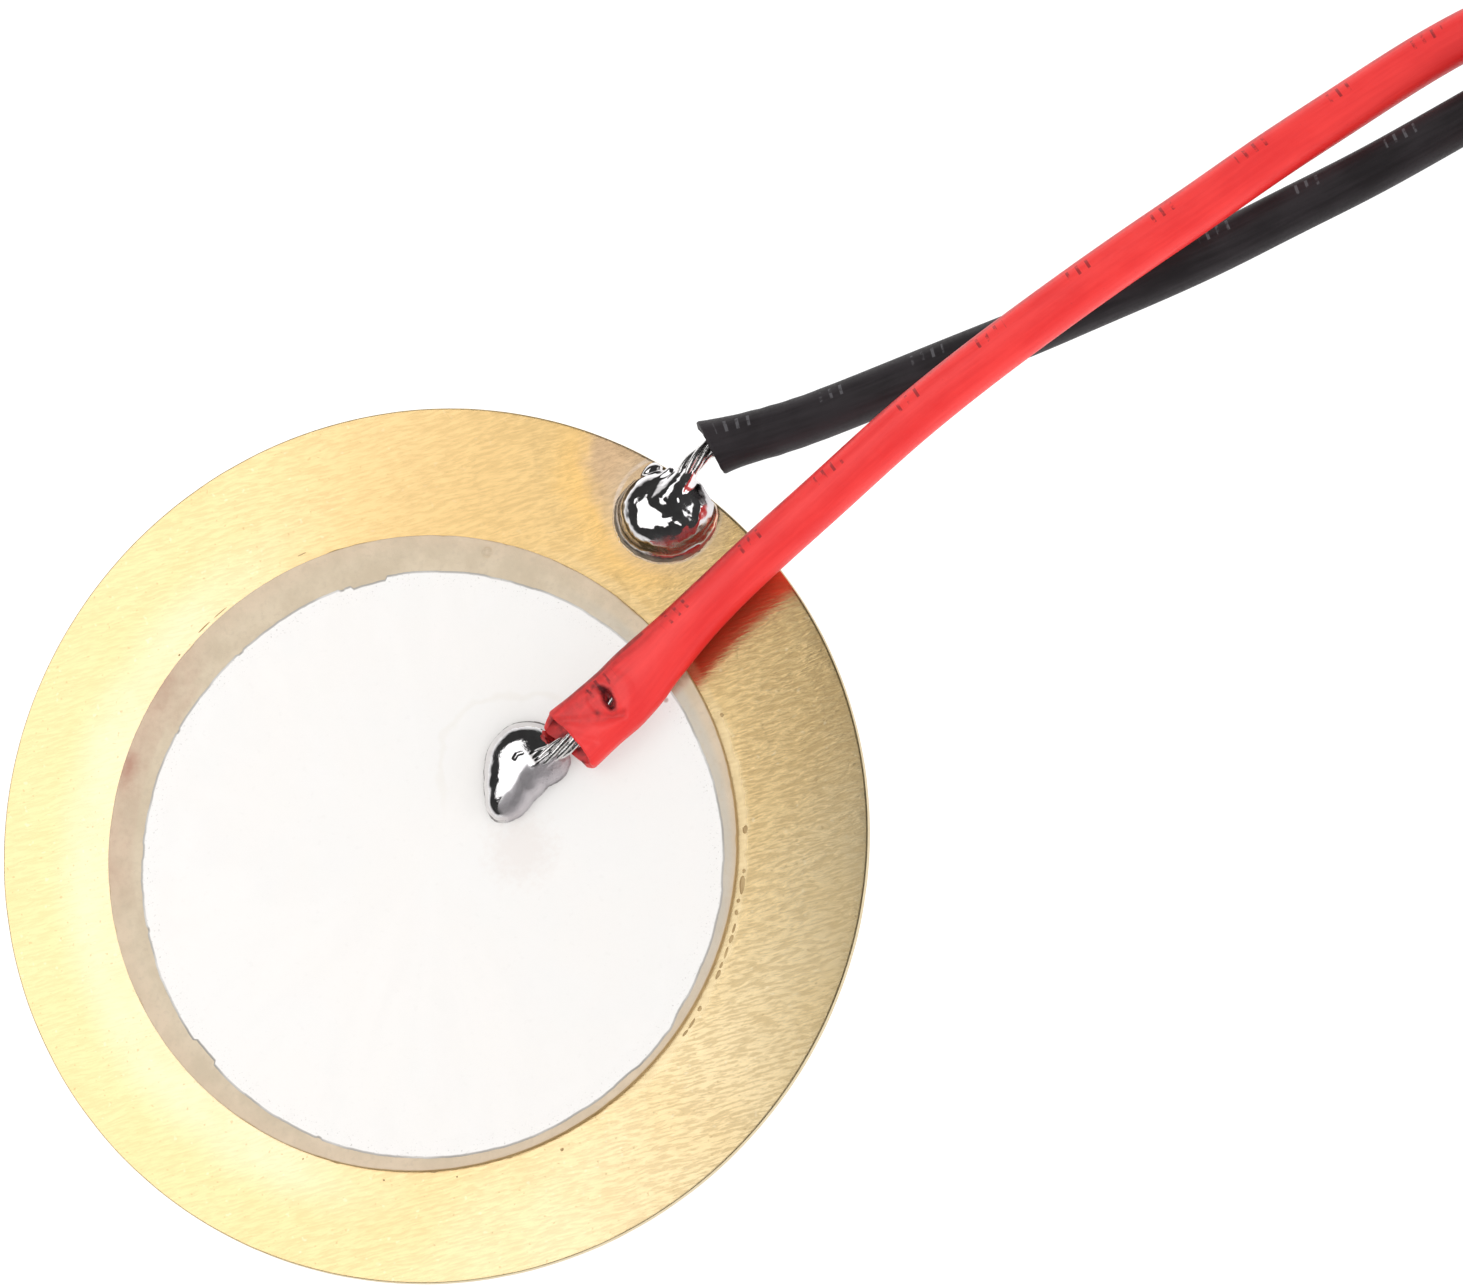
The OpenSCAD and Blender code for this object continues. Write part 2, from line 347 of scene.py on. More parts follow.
class Nodes:
    def __init__(self, name, **sockets):
        self.mat = bpy.data.materials.new(name)
        self.mat.use_nodes = True
        self.t = self.mat.node_tree
        self.t.nodes.clear()
        self.out = self.t.nodes.new("ShaderNodeOutputMaterial")
        self.bsdf = self.t.nodes.new("ShaderNodeBsdfPrincipled")
        self.t.links.new(self.bsdf.outputs[0], self.out.inputs[0])
        for k, v in sockets.items():
            self.bsdf.inputs[k.replace("_", " ")].default_value = v
        self._pos = None

    def put(self, value, socket):
        if isinstance(value, bpy.types.NodeSocket):
            self.t.links.new(value, socket)
        else:
            socket.default_value = value

    def new(self, kind, out=0, inputs=None, **props):
        n = self.t.nodes.new(kind)
        for k, v in props.items():
            setattr(n, k, v)
        for k, v in (inputs or {}).items():
            self.put(v, n.inputs[k])
        return n.outputs[out]

    def mm(self):
        """The point on the object, in mm."""
        if self._pos is None:
            co = self.new("ShaderNodeTexCoord", "Object")
            self._pos = self.new("ShaderNodeVectorMath", operation="SCALE", inputs={0: co, "Scale": 1000.0})
        return self._pos

    def turn(self, vector, angle, scale=(1, 1, 1)):
        r = self.new("ShaderNodeMapping", inputs={"Vector": vector, "Rotation": (0, 0, angle)}, vector_type="POINT")
        return self.new("ShaderNodeVectorMath", operation="MULTIPLY", inputs={0: r, 1: scale})

    def noise(self, vector, scale=1.0, detail=2.0, rough=0.5, distortion=0.0, out=0):
        return self.new("ShaderNodeTexNoise", out, inputs={"Vector": vector, "Scale": scale, "Detail": detail,
                                                           "Roughness": rough, "Distortion": distortion})

    def math(self, op, a, b=0.0, c=0.0, clamp=False):
        return self.new("ShaderNodeMath", operation=op, use_clamp=clamp, inputs={0: a, 1: b, 2: c})

    def ramp(self, value, lo, hi, to_lo=0.0, to_hi=1.0, smooth=True):
        return self.new("ShaderNodeMapRange", interpolation_type="SMOOTHSTEP" if smooth else "LINEAR",
                        inputs={"Value": value, "From Min": lo, "From Max": hi, "To Min": to_lo, "To Max": to_hi})

    def mix(self, factor, a, b, blend="MIX"):
        n = self.t.nodes.new("ShaderNodeMix")
        n.data_type, n.blend_type, n.clamp_factor = "RGBA", blend, True
        self.put(factor, n.inputs[0])
        self.put(a if isinstance(a, bpy.types.NodeSocket) else (*a, 1.0), n.inputs[6])
        self.put(b if isinstance(b, bpy.types.NodeSocket) else (*b, 1.0), n.inputs[7])
        return n.outputs[2]

    def distance(self, x, y, flat=True, z=0.0):
        p = self.mm()
        if flat:
            p = self.new("ShaderNodeVectorMath", operation="MULTIPLY", inputs={0: p, 1: (1, 1, 0)})
        return self.new("ShaderNodeVectorMath", 1, operation="DISTANCE", inputs={0: p, 1: (x, y, z)})

    def attr(self, name):
        return self.new("ShaderNodeAttribute", "Fac", attribute_name=name)

    def bump(self, height, distance, strength=1.0, normal=None):
        i = {"Height": height, "Distance": distance, "Strength": strength}
        if normal is not None:
            i["Normal"] = normal
        return self.new("ShaderNodeBump", inputs=i)

    def set(self, **sockets):
        for k, v in sockets.items():
            self.put(v if isinstance(v, bpy.types.NodeSocket) or not isinstance(v, tuple) else (*v, 1.0),
                     self.bsdf.inputs[k.replace("_", " ")])
        return self.mat


def brass_material():
    n = Nodes("brass", Metallic=1.0, Roughness=0.26)
    p = n.mm()
    grain = math.radians(20)
    bend = n.new("ShaderNodeVectorMath", operation="ADD", inputs={
        0: p, 1: n.new("ShaderNodeVectorMath", operation="SCALE", inputs={0: n.noise(p, 0.9, 2.0, 0.5, out=1), "Scale": 0.16})})
    long = n.noise(n.turn(bend, grain, (2.1, 13.0, 1.0)), 1.0, 1.8, 0.5, 0.25)
    fine = n.noise(n.turn(bend, grain + 0.10, (5.5, 26.0, 4.0)), 1.0, 2.0, 0.6, 0.4)
    cloud = n.noise(p, 0.35, 3.0, 0.55)
    streak = n.ramp(n.math("ADD", n.math("MULTIPLY", long, 0.75), n.math("MULTIPLY", fine, 0.25)), 0.36, 0.64)
    colour = n.mix(streak, (0.790, 0.570, 0.276), (0.880, 0.655, 0.335))
    plain = n.mix(n.ramp(cloud, 0.35, 0.7, 0.0, 0.28), colour, (0.88, 0.64, 0.30))
    east = n.new("ShaderNodeVectorMath", 1, operation="DOT_PRODUCT", inputs={0: p, 1: (0.906, -0.4226, 0)})
    # painted light: paler, yellower brass towards the west, where the soft box's reflection falls
    colour = n.mix(n.ramp(east, 6.0, -12.0, 0.0, 0.55), colour, (0.905, 0.735, 0.405))
    south = n.new("ShaderNodeVectorMath", 1, operation="DOT_PRODUCT", inputs={0: p, 1: (0.26, -0.966, 0)})
    # painted highlight: paler brass towards the south rim
    colour = n.mix(n.ramp(south, 6.0, 10.5, 0.0, 0.50), colour, (0.97, 0.83, 0.54))
    # painted highlight: a paler band just outside the ceramic on the west side, in place of the brighter reflection of
    # a dished plate
    inside = n.math("MULTIPLY", n.ramp(n.distance(float(CER_C[0]), float(CER_C[1])), 11.9, 10.4), n.ramp(east, -1.0, -8.0))
    colour = n.mix(n.math("MULTIPLY", inside, 0.55), colour, (0.93, 0.80, 0.58))
    northeast = n.new("ShaderNodeVectorMath", 1, operation="DOT_PRODUCT", inputs={0: p, 1: (0.866, 0.5, 0)})
    colour = n.mix(n.ramp(cloud, 0.35, 0.7, 0.0, 0.28), colour, (0.88, 0.64, 0.30))
    # painted shade: the grain's hollows are painted darker towards the east, the side away from the soft box
    wear_and_shade = n.math("MULTIPLY", n.ramp(streak, 0.62, 0.18), n.ramp(east, 2.0, 8.0, 0.0, 0.34))
    colour = n.mix(wear_and_shade, colour, (0.60, 0.43, 0.20))
    speck = n.ramp(n.noise(p, 7.0, 1.0, 0.5), 0.70, 0.76)
    colour = n.mix(n.math("MULTIPLY", speck, 0.4), colour, (0.50, 0.34, 0.15))
    pale = n.ramp(n.noise(n.turn(p, 0.4, (1, 1, 3)), 5.0, 1.0, 0.5), 0.70, 0.78)
    colour = n.mix(n.math("MULTIPLY", pale, 0.4), colour, (0.97, 0.84, 0.58))
    # heat tint beside the soldered rim: a broad warm stain, a straw band, and a duller tan inside it
    warm = n.ramp(n.distance(float(RIM_C[0]) - 2.5, float(RIM_C[1]) + 2.0), 11.0, 2.0, 0.0, 0.75)
    colour = n.mix(warm, colour, (0.72, 0.485, 0.205))
    wob = n.math("MULTIPLY", n.math("SUBTRACT", n.noise(p, 1.1, 3.0, 0.6), 0.5), 1.0)
    rx, ry = float(RIM_C[0]), float(RIM_C[1])
    arc = n.math("ADD", n.distance(rx + 2.44, ry + 0.9), wob)
    xyz = n.t.nodes.new("ShaderNodeSeparateXYZ")
    n.put(p, xyz.inputs[0])
    y = xyz.outputs[1]
    # the marks and tints are on the upper face only
    face = n.ramp(xyz.outputs[2], 0.08, 0.22)
    band = n.math("MULTIPLY", n.ramp(arc, 3.65, 4.45), n.ramp(arc, 5.6, 4.45))
    reach = n.math("MULTIPLY", n.ramp(y, ry - 2.4, ry - 1.3), n.ramp(y, ry + 4.4, ry + 2.4, 0.35, 1.0))
    inner = n.math("MULTIPLY", n.ramp(arc, 4.55, 3.55), n.ramp(y, ry - 0.3, ry + 1.9))
    colour = n.mix(n.math("MULTIPLY", n.math("MULTIPLY", band, reach), 0.80), colour, (0.85, 0.545, 0.20))
    colour = n.mix(n.math("MULTIPLY", inner, 0.85), colour, (0.62, 0.43, 0.265))
    ring = n.distance(rx, ry)
    halo = n.math("MULTIPLY", n.ramp(ring, 2.3, 1.75), 0.35)
    colour = n.mix(halo, colour, (0.66, 0.50, 0.33))
    # painted highlight: a pale ring on the brass round the rim joint's foot, standing in for the bright edge of the
    # fillet
    line = n.math("MULTIPLY", n.ramp(ring, 1.57, 1.62), n.ramp(ring, 1.76, 1.68))
    colour = n.mix(n.math("MULTIPLY", line, n.ramp(cloud, 0.4, 0.6, 0.15, 0.4)), colour, (0.80, 0.74, 0.70))
    rough = n.math("ADD", n.ramp(streak, 0.0, 1.0, 0.245, 0.190, smooth=False), n.math("MULTIPLY", cloud, 0.04))
    patchy = n.math("MULTIPLY", n.ramp(n.noise(p, 0.8, 2.0, 0.5), 0.40, 0.60, 0.45, 1.0), n.ramp(east, -11.0, 3.0, 0.35, 1.0))
    patchy = n.math("MAXIMUM", patchy, n.ramp(east, 4.0, 9.0, 0.0, 0.85))
    patchy = n.math("MULTIPLY", n.math("MULTIPLY", patchy, n.ramp(south, 9.3, 10.8, 1.0, 0.5)), n.ramp(northeast, 7.0, 11.0, 1.0, 1.35))
    height = n.math("MULTIPLY", n.math("ADD", n.math("MULTIPLY", long, 0.8), n.math("MULTIPLY", fine, 0.2)), patchy)
    reach = n.math("ADD", n.distance(float(CER_C[0]), float(CER_C[1])), n.math("MULTIPLY", n.math("SUBTRACT", n.noise(p, 2.0, 2.0), 0.5), 0.30))
    collar = n.math("MULTIPLY", n.ramp(reach, 10.24, 10.02), n.math("MULTIPLY", n.ramp(east, 3.5, 6.5), n.ramp(y, -0.4, -3.0, 0.25, 1.0)))
    collar = n.math("MULTIPLY", collar, face)
    colour = n.mix(n.math("MULTIPLY", collar, 0.60), colour, (0.95, 0.77, 0.46))
    colour = n.mix(face, plain, colour)
    cut = n.ramp(n.distance(float(PLATE_C[0]), float(PLATE_C[1])), PLATE_R - 0.035, PLATE_R - 0.008)
    colour = n.mix(n.math("MULTIPLY", cut, 0.75), colour, (0.60, 0.51, 0.34))
    rough = n.math("ADD", rough, n.math("MULTIPLY", cut, 0.2))
    dish = n.math("MULTIPLY", n.math("POWER", n.math("MAXIMUM", n.math("SUBTRACT", east, 5.5), 0.0), 2.0), face)
    metal = n.math("SUBTRACT", n.math("SUBTRACT", 1.0, n.math("MULTIPLY", collar, 0.40)), n.math("MULTIPLY", cut, 0.88))
    return n.set(Base_Color=colour, Metallic=metal, Roughness=rough, Normal=n.bump(height, 0.0000095, 0.7, n.bump(n.math("MULTIPLY", dish, -0.0009), 0.001, 1.0)))


def glue_material():
    n = Nodes("adhesive", IOR=1.5)
    p = n.mm()
    a = n.noise(p, 2.2, 3.0, 0.6)
    colour = n.mix(n.ramp(a, 0.35, 0.68), (0.40, 0.265, 0.115), (0.54, 0.385, 0.18))
    return n.set(Base_Color=colour, Roughness=n.ramp(a, 0.3, 0.7, 0.25, 0.5), Normal=n.bump(n.noise(p, 9.0, 2.0), 0.00002, 0.5))


def ceramic_material():
    n = Nodes("ceramic", IOR=1.6)
    p = n.mm()
    a = n.noise(p, 1.1, 4.0, 0.6)
    b = n.noise(p, 6.0, 3.0, 0.6)
    g = n.noise(p, 34.0, 2.0, 0.6)
    colour = n.mix(n.ramp(a, 0.33, 0.68), (0.565, 0.458, 0.318), (0.645, 0.532, 0.380))
    out = n.ramp(n.math("ADD", n.distance(float(CER_C[0]), float(CER_C[1])), n.math("MULTIPLY", n.math("SUBTRACT", a, 0.5), 1.2)), 9.15, 9.75)
    colour = n.mix(n.math("MULTIPLY", out, 0.30), colour, (0.66, 0.475, 0.33))
    east = n.new("ShaderNodeVectorMath", 1, operation="DOT_PRODUCT", inputs={0: p, 1: (0.94, -0.34, 0)})
    cool = n.math("MULTIPLY", n.ramp(n.distance(float(FILM_C[0]), float(FILM_C[1])), 9.52, 9.22), n.ramp(east, 5.0, 8.5))
    colour = n.mix(n.math("MULTIPLY", cool, 0.6), colour, (0.50, 0.475, 0.42))
    colour = n.mix(n.ramp(b, 0.5, 0.75, 0.0, 0.5), colour, (0.53, 0.43, 0.31))
    colour = n.mix(n.ramp(g, 0.62, 0.72, 0.0, 0.35), colour, (0.40, 0.31, 0.22))
    side = n.ramp(n.new("ShaderNodeSeparateXYZ", "Z", inputs={0: p}), CER_TOP - 0.004, CER_TOP - 0.03)
    colour = n.mix(n.math("MULTIPLY", side, 0.8), colour, (0.50, 0.32, 0.12))
    # real pink-brown stains, and the red lead's painted shadow beside it; the second mix is that painted shadow's
    # darker core
    stain_and_lead_shadow = n.attr("stain_and_lead_shadow")
    colour = n.mix(n.math("MULTIPLY", stain_and_lead_shadow, n.ramp(b, 0.3, 0.6, 0.75, 1.0)), colour, (0.47, 0.255, 0.175))
    colour = n.mix(n.math("MULTIPLY", n.attr("lead_shadow"), n.ramp(b, 0.3, 0.6, 0.6, 0.85)), colour, (0.25, 0.135, 0.07))
    rough = n.ramp(b, 0.3, 0.7, 0.42, 0.58)
    height = n.math("ADD", n.math("MULTIPLY", g, 0.5), b)
    return n.set(Base_Color=colour, Roughness=rough, Normal=n.bump(height, 0.000012, 0.7))


def silver_material(name="silver", upper=True):
    n = Nodes(name, IOR=1.5)
    p = n.mm()
    cloud = n.noise(p, 0.32, 3.0, 0.55)
    grit = n.noise(p, 26.0, 2.0, 0.65)
    mid = n.noise(p, 5.0, 3.0, 0.6)
    colour = n.mix(n.ramp(cloud, 0.35, 0.7), (0.915, 0.888, 0.862), (0.905, 0.886, 0.866))
    colour = n.mix(n.ramp(grit, 0.60, 0.78, 0.0, 0.16), colour, (0.70, 0.67, 0.64))
    colour = n.mix(n.ramp(mid, 0.62, 0.72, 0.0, 0.10), colour, (0.74, 0.71, 0.68))
    if upper:
        edge = n.attr("edge")
        speck = n.math("MULTIPLY", n.ramp(n.noise(p, 13.0, 2.0, 0.55), 0.62, 0.70), n.ramp(edge, 0.75, 0.15))
        colour = n.mix(n.math("MULTIPLY", speck, 0.45), colour, (0.42, 0.39, 0.36))
        # painted shade: a thin dark line along the film's edge, strongest on the side facing -Y and at the notches
        edge_shade = n.attr("painted_edge_shade")
        line = n.math("MULTIPLY", n.ramp(edge, 0.085, 0.040), edge_shade)
        colour = n.mix(n.math("MULTIPLY", line, 0.85), colour, (0.27, 0.245, 0.215))
        spot = n.ramp(n.distance(8.36, -0.60), 0.11, 0.03)
        colour = n.mix(n.math("MULTIPLY", spot, 0.65), colour, (0.36, 0.15, 0.10))
        # smudge of dried flux below the bead, and a pale tide line round it
        smudge = n.ramp(n.math("ADD", n.distance(2.15, -1.75), n.math("MULTIPLY", n.math("SUBTRACT", mid, 0.5), 1.6)), 1.5, 0.3)
        colour = n.mix(n.math("MULTIPLY", smudge, 0.38), colour, (0.80, 0.715, 0.67))
        d = n.math("ADD", n.distance(3.25, 0.35), n.math("MULTIPLY", n.math("SUBTRACT", n.noise(p, 0.8, 2.0), 0.5), 1.3))
        tide = n.math("MULTIPLY", n.ramp(d, 2.15, 2.32), n.ramp(d, 2.52, 2.36))
        colour = n.mix(n.math("MULTIPLY", n.math("MULTIPLY", tide, n.ramp(n.new("ShaderNodeSeparateXYZ", "Y", inputs={0: p}), 0.0, 1.6)), 0.16), colour, (0.78, 0.72, 0.62))
    rough = n.ramp(grit, 0.3, 0.7, 0.48, 0.62)
    height = n.math("ADD", n.math("MULTIPLY", grit, 0.6), n.math("MULTIPLY", mid, 0.6))
    return n.set(Base_Color=colour, Metallic=0.18, Roughness=rough, Normal=n.bump(height, 0.000009, 0.6))


def solder_material():
    n = Nodes("solder", Metallic=1.0)
    p = n.mm()
    dull = n.attr("dull")
    a = n.noise(p, 3.0, 3.0, 0.6)
    g = n.noise(p, 17.0, 3.0, 0.6)
    pit = n.noise(p, 11.0, 2.0, 0.55)
    colour = n.mix(n.ramp(a, 0.35, 0.7), (0.80, 0.775, 0.785), (0.87, 0.86, 0.86))
    colour = n.mix(n.math("MULTIPLY", dull, n.ramp(g, 0.40, 0.60)), colour, (0.66, 0.63, 0.665))
    colour = n.mix(n.math("MULTIPLY", dull, n.ramp(pit, 0.575, 0.635, 0.0, 0.95)), colour, (0.07, 0.065, 0.07))
    # painted shade: the line attribute darkens the outline at a bead's foot, a band beside the strands and the rim
    # joint's side away from the soft box
    colour = n.mix(n.math("MULTIPLY", n.attr("line"), 0.8), colour, (0.13, 0.115, 0.105))
    soft = n.attr("soft")
    colour = n.mix(n.math("MULTIPLY", soft, n.ramp(a, 0.3, 0.7, 0.55, 0.85)), colour, (0.70, 0.66, 0.69))
    # painted reflection: the rim joint's foot is tinted brass-gold, standing in for the brass seen in it
    foot = n.attr("foot")
    colour = n.mix(n.math("MULTIPLY", foot, 0.8), colour, (0.70, 0.54, 0.36))
    rough = n.math("ADD", n.ramp(a, 0.3, 0.7, 0.04, 0.08), n.math("MULTIPLY", dull, n.ramp(g, 0.35, 0.65, 0.10, 0.30)))
    rough = n.math("ADD", rough, n.math("ADD", n.math("MULTIPLY", soft, 0.48), n.math("MULTIPLY", foot, 0.26)))
    height = n.math("ADD", n.math("MULTIPLY", g, n.math("ADD", n.math("MULTIPLY", dull, 1.0), 0.05)), n.math("MULTIPLY", n.math("MULTIPLY", pit, dull), 2.2))
    return n.set(Base_Color=colour, Roughness=rough, Normal=n.bump(height, 0.000026, 0.8))


def tinned_material():
    n = Nodes("tinned_wire", Metallic=1.0)
    p = n.mm()
    a = n.noise(p, 9.0, 3.0, 0.6)
    colour = n.mix(n.ramp(a, 0.35, 0.7), (0.74, 0.72, 0.71), (0.92, 0.91, 0.90))
    return n.set(Base_Color=colour, Roughness=n.ramp(a, 0.3, 0.7, 0.12, 0.24), Normal=n.bump(n.noise(p, 30.0, 2.0), 0.00001, 0.6))


def pvc_material(name, dark, light, print_colour, print_amount, rough, start, period, scorch_and_shade_colour, level):
    n = Nodes(name, IOR=1.5)
    p = n.mm()
    along, around = n.attr("along"), n.attr("around")
    cloud = n.noise(p, 0.5, 2.0, 0.5)
    fine = n.noise(p, 9.0, 3.0, 0.6)
    streaks = n.noise(n.new("ShaderNodeCombineXYZ", inputs={0: n.math("MULTIPLY", along, 0.55), 1: n.math("MULTIPLY", around, 34.0), 2: 0.0}),
                      1.0, 2.0, 0.5)
    colour = n.mix(n.ramp(n.math("ADD", n.math("MULTIPLY", cloud, 0.6), n.math("MULTIPLY", streaks, 0.4)), 0.35, 0.65), dark, light)
    colour = n.mix(n.ramp(fine, 0.66, 0.78, 0.0, 0.25), colour, tuple(c * 0.6 for c in dark))
    # plain worn ticks along one side, evenly spaced
    local = n.math("PINGPONG", n.math("SUBTRACT", along, start), period)
    tick = n.ramp(n.math("PINGPONG", along, 0.17), 0.060, 0.035)
    bar = n.math("MULTIPLY", n.math("MULTIPLY", n.ramp(local, 0.56, 0.50), tick),
                 n.ramp(n.math("ABSOLUTE", n.math("SUBTRACT", around, 0.335)), 0.046, 0.040))
    wear_and_shade = n.ramp(n.noise(p, 3.2, 3.0, 0.6), 0.38, 0.56)
    colour = n.mix(n.math("MULTIPLY", n.math("MULTIPLY", bar, wear_and_shade), print_amount), colour, print_colour)
    # dark marks: real scorch and smears, and painted shade in creases, in the bore and down the far side
    scorch_and_shade = n.attr("scorch_and_shade")
    colour = n.mix(n.math("MULTIPLY", scorch_and_shade, n.ramp(n.noise(p, 5.0, 3.0, 0.6), 0.3, 0.6, 0.65, 1.0)), colour, scorch_and_shade_colour)
    height = n.math("ADD", n.math("MULTIPLY", streaks, 0.6), n.math("MULTIPLY", fine, 0.4))
    n.bsdf.inputs["Specular IOR Level"].default_value = level
    return n.set(Base_Color=colour, Roughness=n.ramp(fine, 0.3, 0.7, rough - 0.05, rough + 0.07), Normal=n.bump(height, 0.000010, 0.5))


def tie_material():
    n = Nodes("tie", IOR=1.45)
    p = n.mm()
    a = n.noise(p, 3.0, 3.0, 0.6)
    b = n.noise(p, 14.0, 2.0, 0.6)
    colour = n.mix(n.ramp(a, 0.35, 0.7), (0.74, 0.73, 0.69), (0.83, 0.82, 0.79))
    return n.set(Base_Color=colour, Roughness=n.ramp(b, 0.3, 0.7, 0.42, 0.6), Normal=n.bump(n.math("ADD", a, n.math("MULTIPLY", b, 0.4)), 0.00003, 0.5))


BRASS, GLUE, CERAMIC_M = brass_material(), glue_material(), ceramic_material()
SILVER, SILVER_LOW = silver_material(), silver_material("silver_lower", upper=False)
SOLDER, TINNED, TIE = solder_material(), tinned_material(), tie_material()
RED = pvc_material("red_pvc", (0.80, 0.018, 0.018), (0.88, 0.031, 0.028), (0.20, 0.006, 0.010), 0.75, 0.42, 5.0, 1.6, (0.050, 0.0025, 0.005), 0.5)
BLACK = pvc_material("black_pvc", (0.016, 0.0125, 0.0142), (0.028, 0.0225, 0.0255), (0.13, 0.125, 0.135), 0.60, 0.50, 4.1, 1.6, (0.005, 0.004, 0.004), 0.22)

# ------------------------------------------------------------------ cords

LEAD_R = 0.75
CORE_R = 0.30
COIL_X, COIL_Y = 46.0, -7.5
BLACK_COIL_R, RED_COIL_R = 6.75, 8.35
Z1, Z2 = 0.75, 2.35
BLACK_END, RED_END = 535.0, 380.0
BLACK_ROUTE = [(13.9, 4.9, 1.05), (15.0, 4.5, 0.95), (16.5, 4.0, 0.82), (18.0, 3.6, 0.75), (20.0, 3.1, 0.75),
               (22.0, 2.6, 0.75), (24.0, 2.1, 0.75), (26.0, 1.65, 0.75), (28.0, 1.2, 0.75), (30.0, 0.8, 0.75),
               (32.5, 0.4, 0.75), (35.0, 0.0, 0.75), (37.5, -0.3, 0.75), (40.0, -0.55, 0.75), (43.0, -0.7, 0.75),
               (46.0, -0.75, 0.75)]
RED_ROUTE = [(5.4, -0.1, 1.32), (7.5, 0.1, 1.36), (9.0, 0.3, 1.42), (10.5, 0.65, 1.5), (13.0, 1.05, 1.7),
             (16.0, 1.35, 1.9), (19.0, 1.65, 2.1), (22.0, 1.8, 2.27), (25.0, 1.85, 2.32), (28.0, 1.85, 2.25),
             (30.5, 1.85, 2.02), (33.0, 1.9, 1.68), (35.5, 1.9, 1.25), (38.0, 1.85, 0.95), (40.5, 1.6, 0.78),
             (43.0, 1.1, 0.75), (46.0, 0.85, 0.75)]


def coil_point(r, t):
    a = np.radians(t)
    z = Z1 + (Z2 - Z1) * sstep(240, 305, t)
    return [COIL_X + r * math.sin(a), COIL_Y + r * math.cos(a), float(z)]


def lead_line(route, r, end):
    turns = [coil_point(r, t) for t in np.linspace(0, end, int(round(end / 15)) + 1)[1:]]
    return Line(list(route) + turns)


BLACK_LINE = lead_line(BLACK_ROUTE, BLACK_COIL_R, BLACK_END)
RED_LINE = lead_line(RED_ROUTE, RED_COIL_R, RED_END)


def near_line(x, y, pts):
    """Distance in plan from points to a broken line."""
    best = np.full(len(x), 1e9)
    for (ax, ay), (bx, by) in zip(pts[:-1], pts[1:]):
        dx, dy = bx - ax, by - ay
        t = np.clip(((x - ax) * dx + (y - ay) * dy) / (dx * dx + dy * dy), 0, 1)
        best = np.minimum(best, np.hypot(x - ax - t * dx, y - ay - t * dy))
    return best


def wire(name, line, slot, material, shape, relief, lip, bore_near, bore_far=0.9, cols=96, fine=5.0, square=0.0):
    """A lead's insulation as one closed tube with a bore at each end.
    shape(s) gives half width, half height and a shift to the side; relief(points, up) moves points; lip(angle) is how
    far the end stands out along the lead at that angle."""
    L = line.length
    s_out = np.concatenate([np.arange(0, fine, 0.045), np.linspace(fine, L - 0.5, int((L - fine) / 0.29)),
                            np.linspace(L - 0.45, L, 8)])
    s_in = np.concatenate([np.arange(bore_near, 0, -0.06), [0.0]])
    s_back = np.concatenate([[L], np.linspace(L - 0.1, L - bore_far, 6)])
    rows = [(s, 1) for s in s_in] + [(s, 0) for s in s_out] + [(s, 1) for s in s_back]
    s = np.array([r[0] for r in rows])
    inner = np.array([r[1] for r in rows], float)
    # soften both rims of the end faces
    k_near = len(s_in)
    ang = np.arange(cols) / cols * 2 * math.pi
    S, A = np.meshgrid(s, ang, indexing="ij")
    IN = np.repeat(inner[:, None], cols, 1)
    t, side, up = line.axes(s)
    a, b, shift = shape(s)
    wall = 0.235
    round_near = np.where(np.arange(len(s)) == k_near, 0.05, 0.0) + np.where(np.arange(len(s)) == k_near + 1, 0.012, 0.0)
    k_far = len(s_in) + len(s_out) - 1
    round_far = np.where(np.arange(len(s)) == k_far, 0.05, 0.0)
    shrink = (round_near + round_far)[:, None]
    power = 2 / (2 + square * (1 - sstep(1.0, 4.0, S)))
    ca, sa = np.cos(A), np.sin(A)
    ca, sa = np.sign(ca) * np.abs(ca) ** power, np.sign(sa) * np.abs(sa) ** power
    w = (a[:, None] - wall * IN - shrink)
    h = (b[:, None] - wall * IN - shrink)
    out = lip(A.ravel()).reshape(A.shape) * (1 - sstep(0, 1.3, S))
    pos = line.at(s)[:, None, :] + shift[:, None, None] * side[:, None, :]
    P = (pos + (w * ca)[..., None] * side[:, None, :] + (h * sa)[..., None] * up[:, None, :]
         - out[..., None] * t[:, None, :])
    P = P.reshape(-1, 3)
    scorch_and_shade = np.zeros(len(P))
    P, scorch_and_shade = relief(P, S.ravel(), A.ravel(), IN.ravel(), scorch_and_shade)
    if name == "red_wire":
        lift = np.maximum(0, 0.565 - P[:, 2]) * (P[:, 0] < 9.2)
        P[:, 2] += lift
    P[:, 2] = np.maximum(P[:, 2], 0.004)
    n = len(P)
    ends = np.stack([line.at(np.array([bore_near]))[0], line.at(np.array([L - bore_far]))[0]])
    ends += np.stack([side[0] * shift[0], side[-1] * shift[-1]])
    P = np.concatenate([P, ends])
    quads = ring_quads(len(s), cols)[:, ::-1]
    tris = np.concatenate([fan(n, 0, cols), fan(n + 1, (len(s) - 1) * cols, cols, flip=True)])
    along = np.concatenate([S.ravel(), [bore_near, L]])
    around = np.concatenate([A.ravel() / (2 * math.pi), [0.0, 0.0]])
    # the near bore's end cap is painted dark: painted shade deep in the bore
    scorch_and_shade = np.concatenate([scorch_and_shade, [0.6, 0.0]])
    return make(name, P, quads, tris, [material], attrs={"along": along, "around": around, "scorch_and_shade": scorch_and_shade},
                sharp=50, slot=slot)


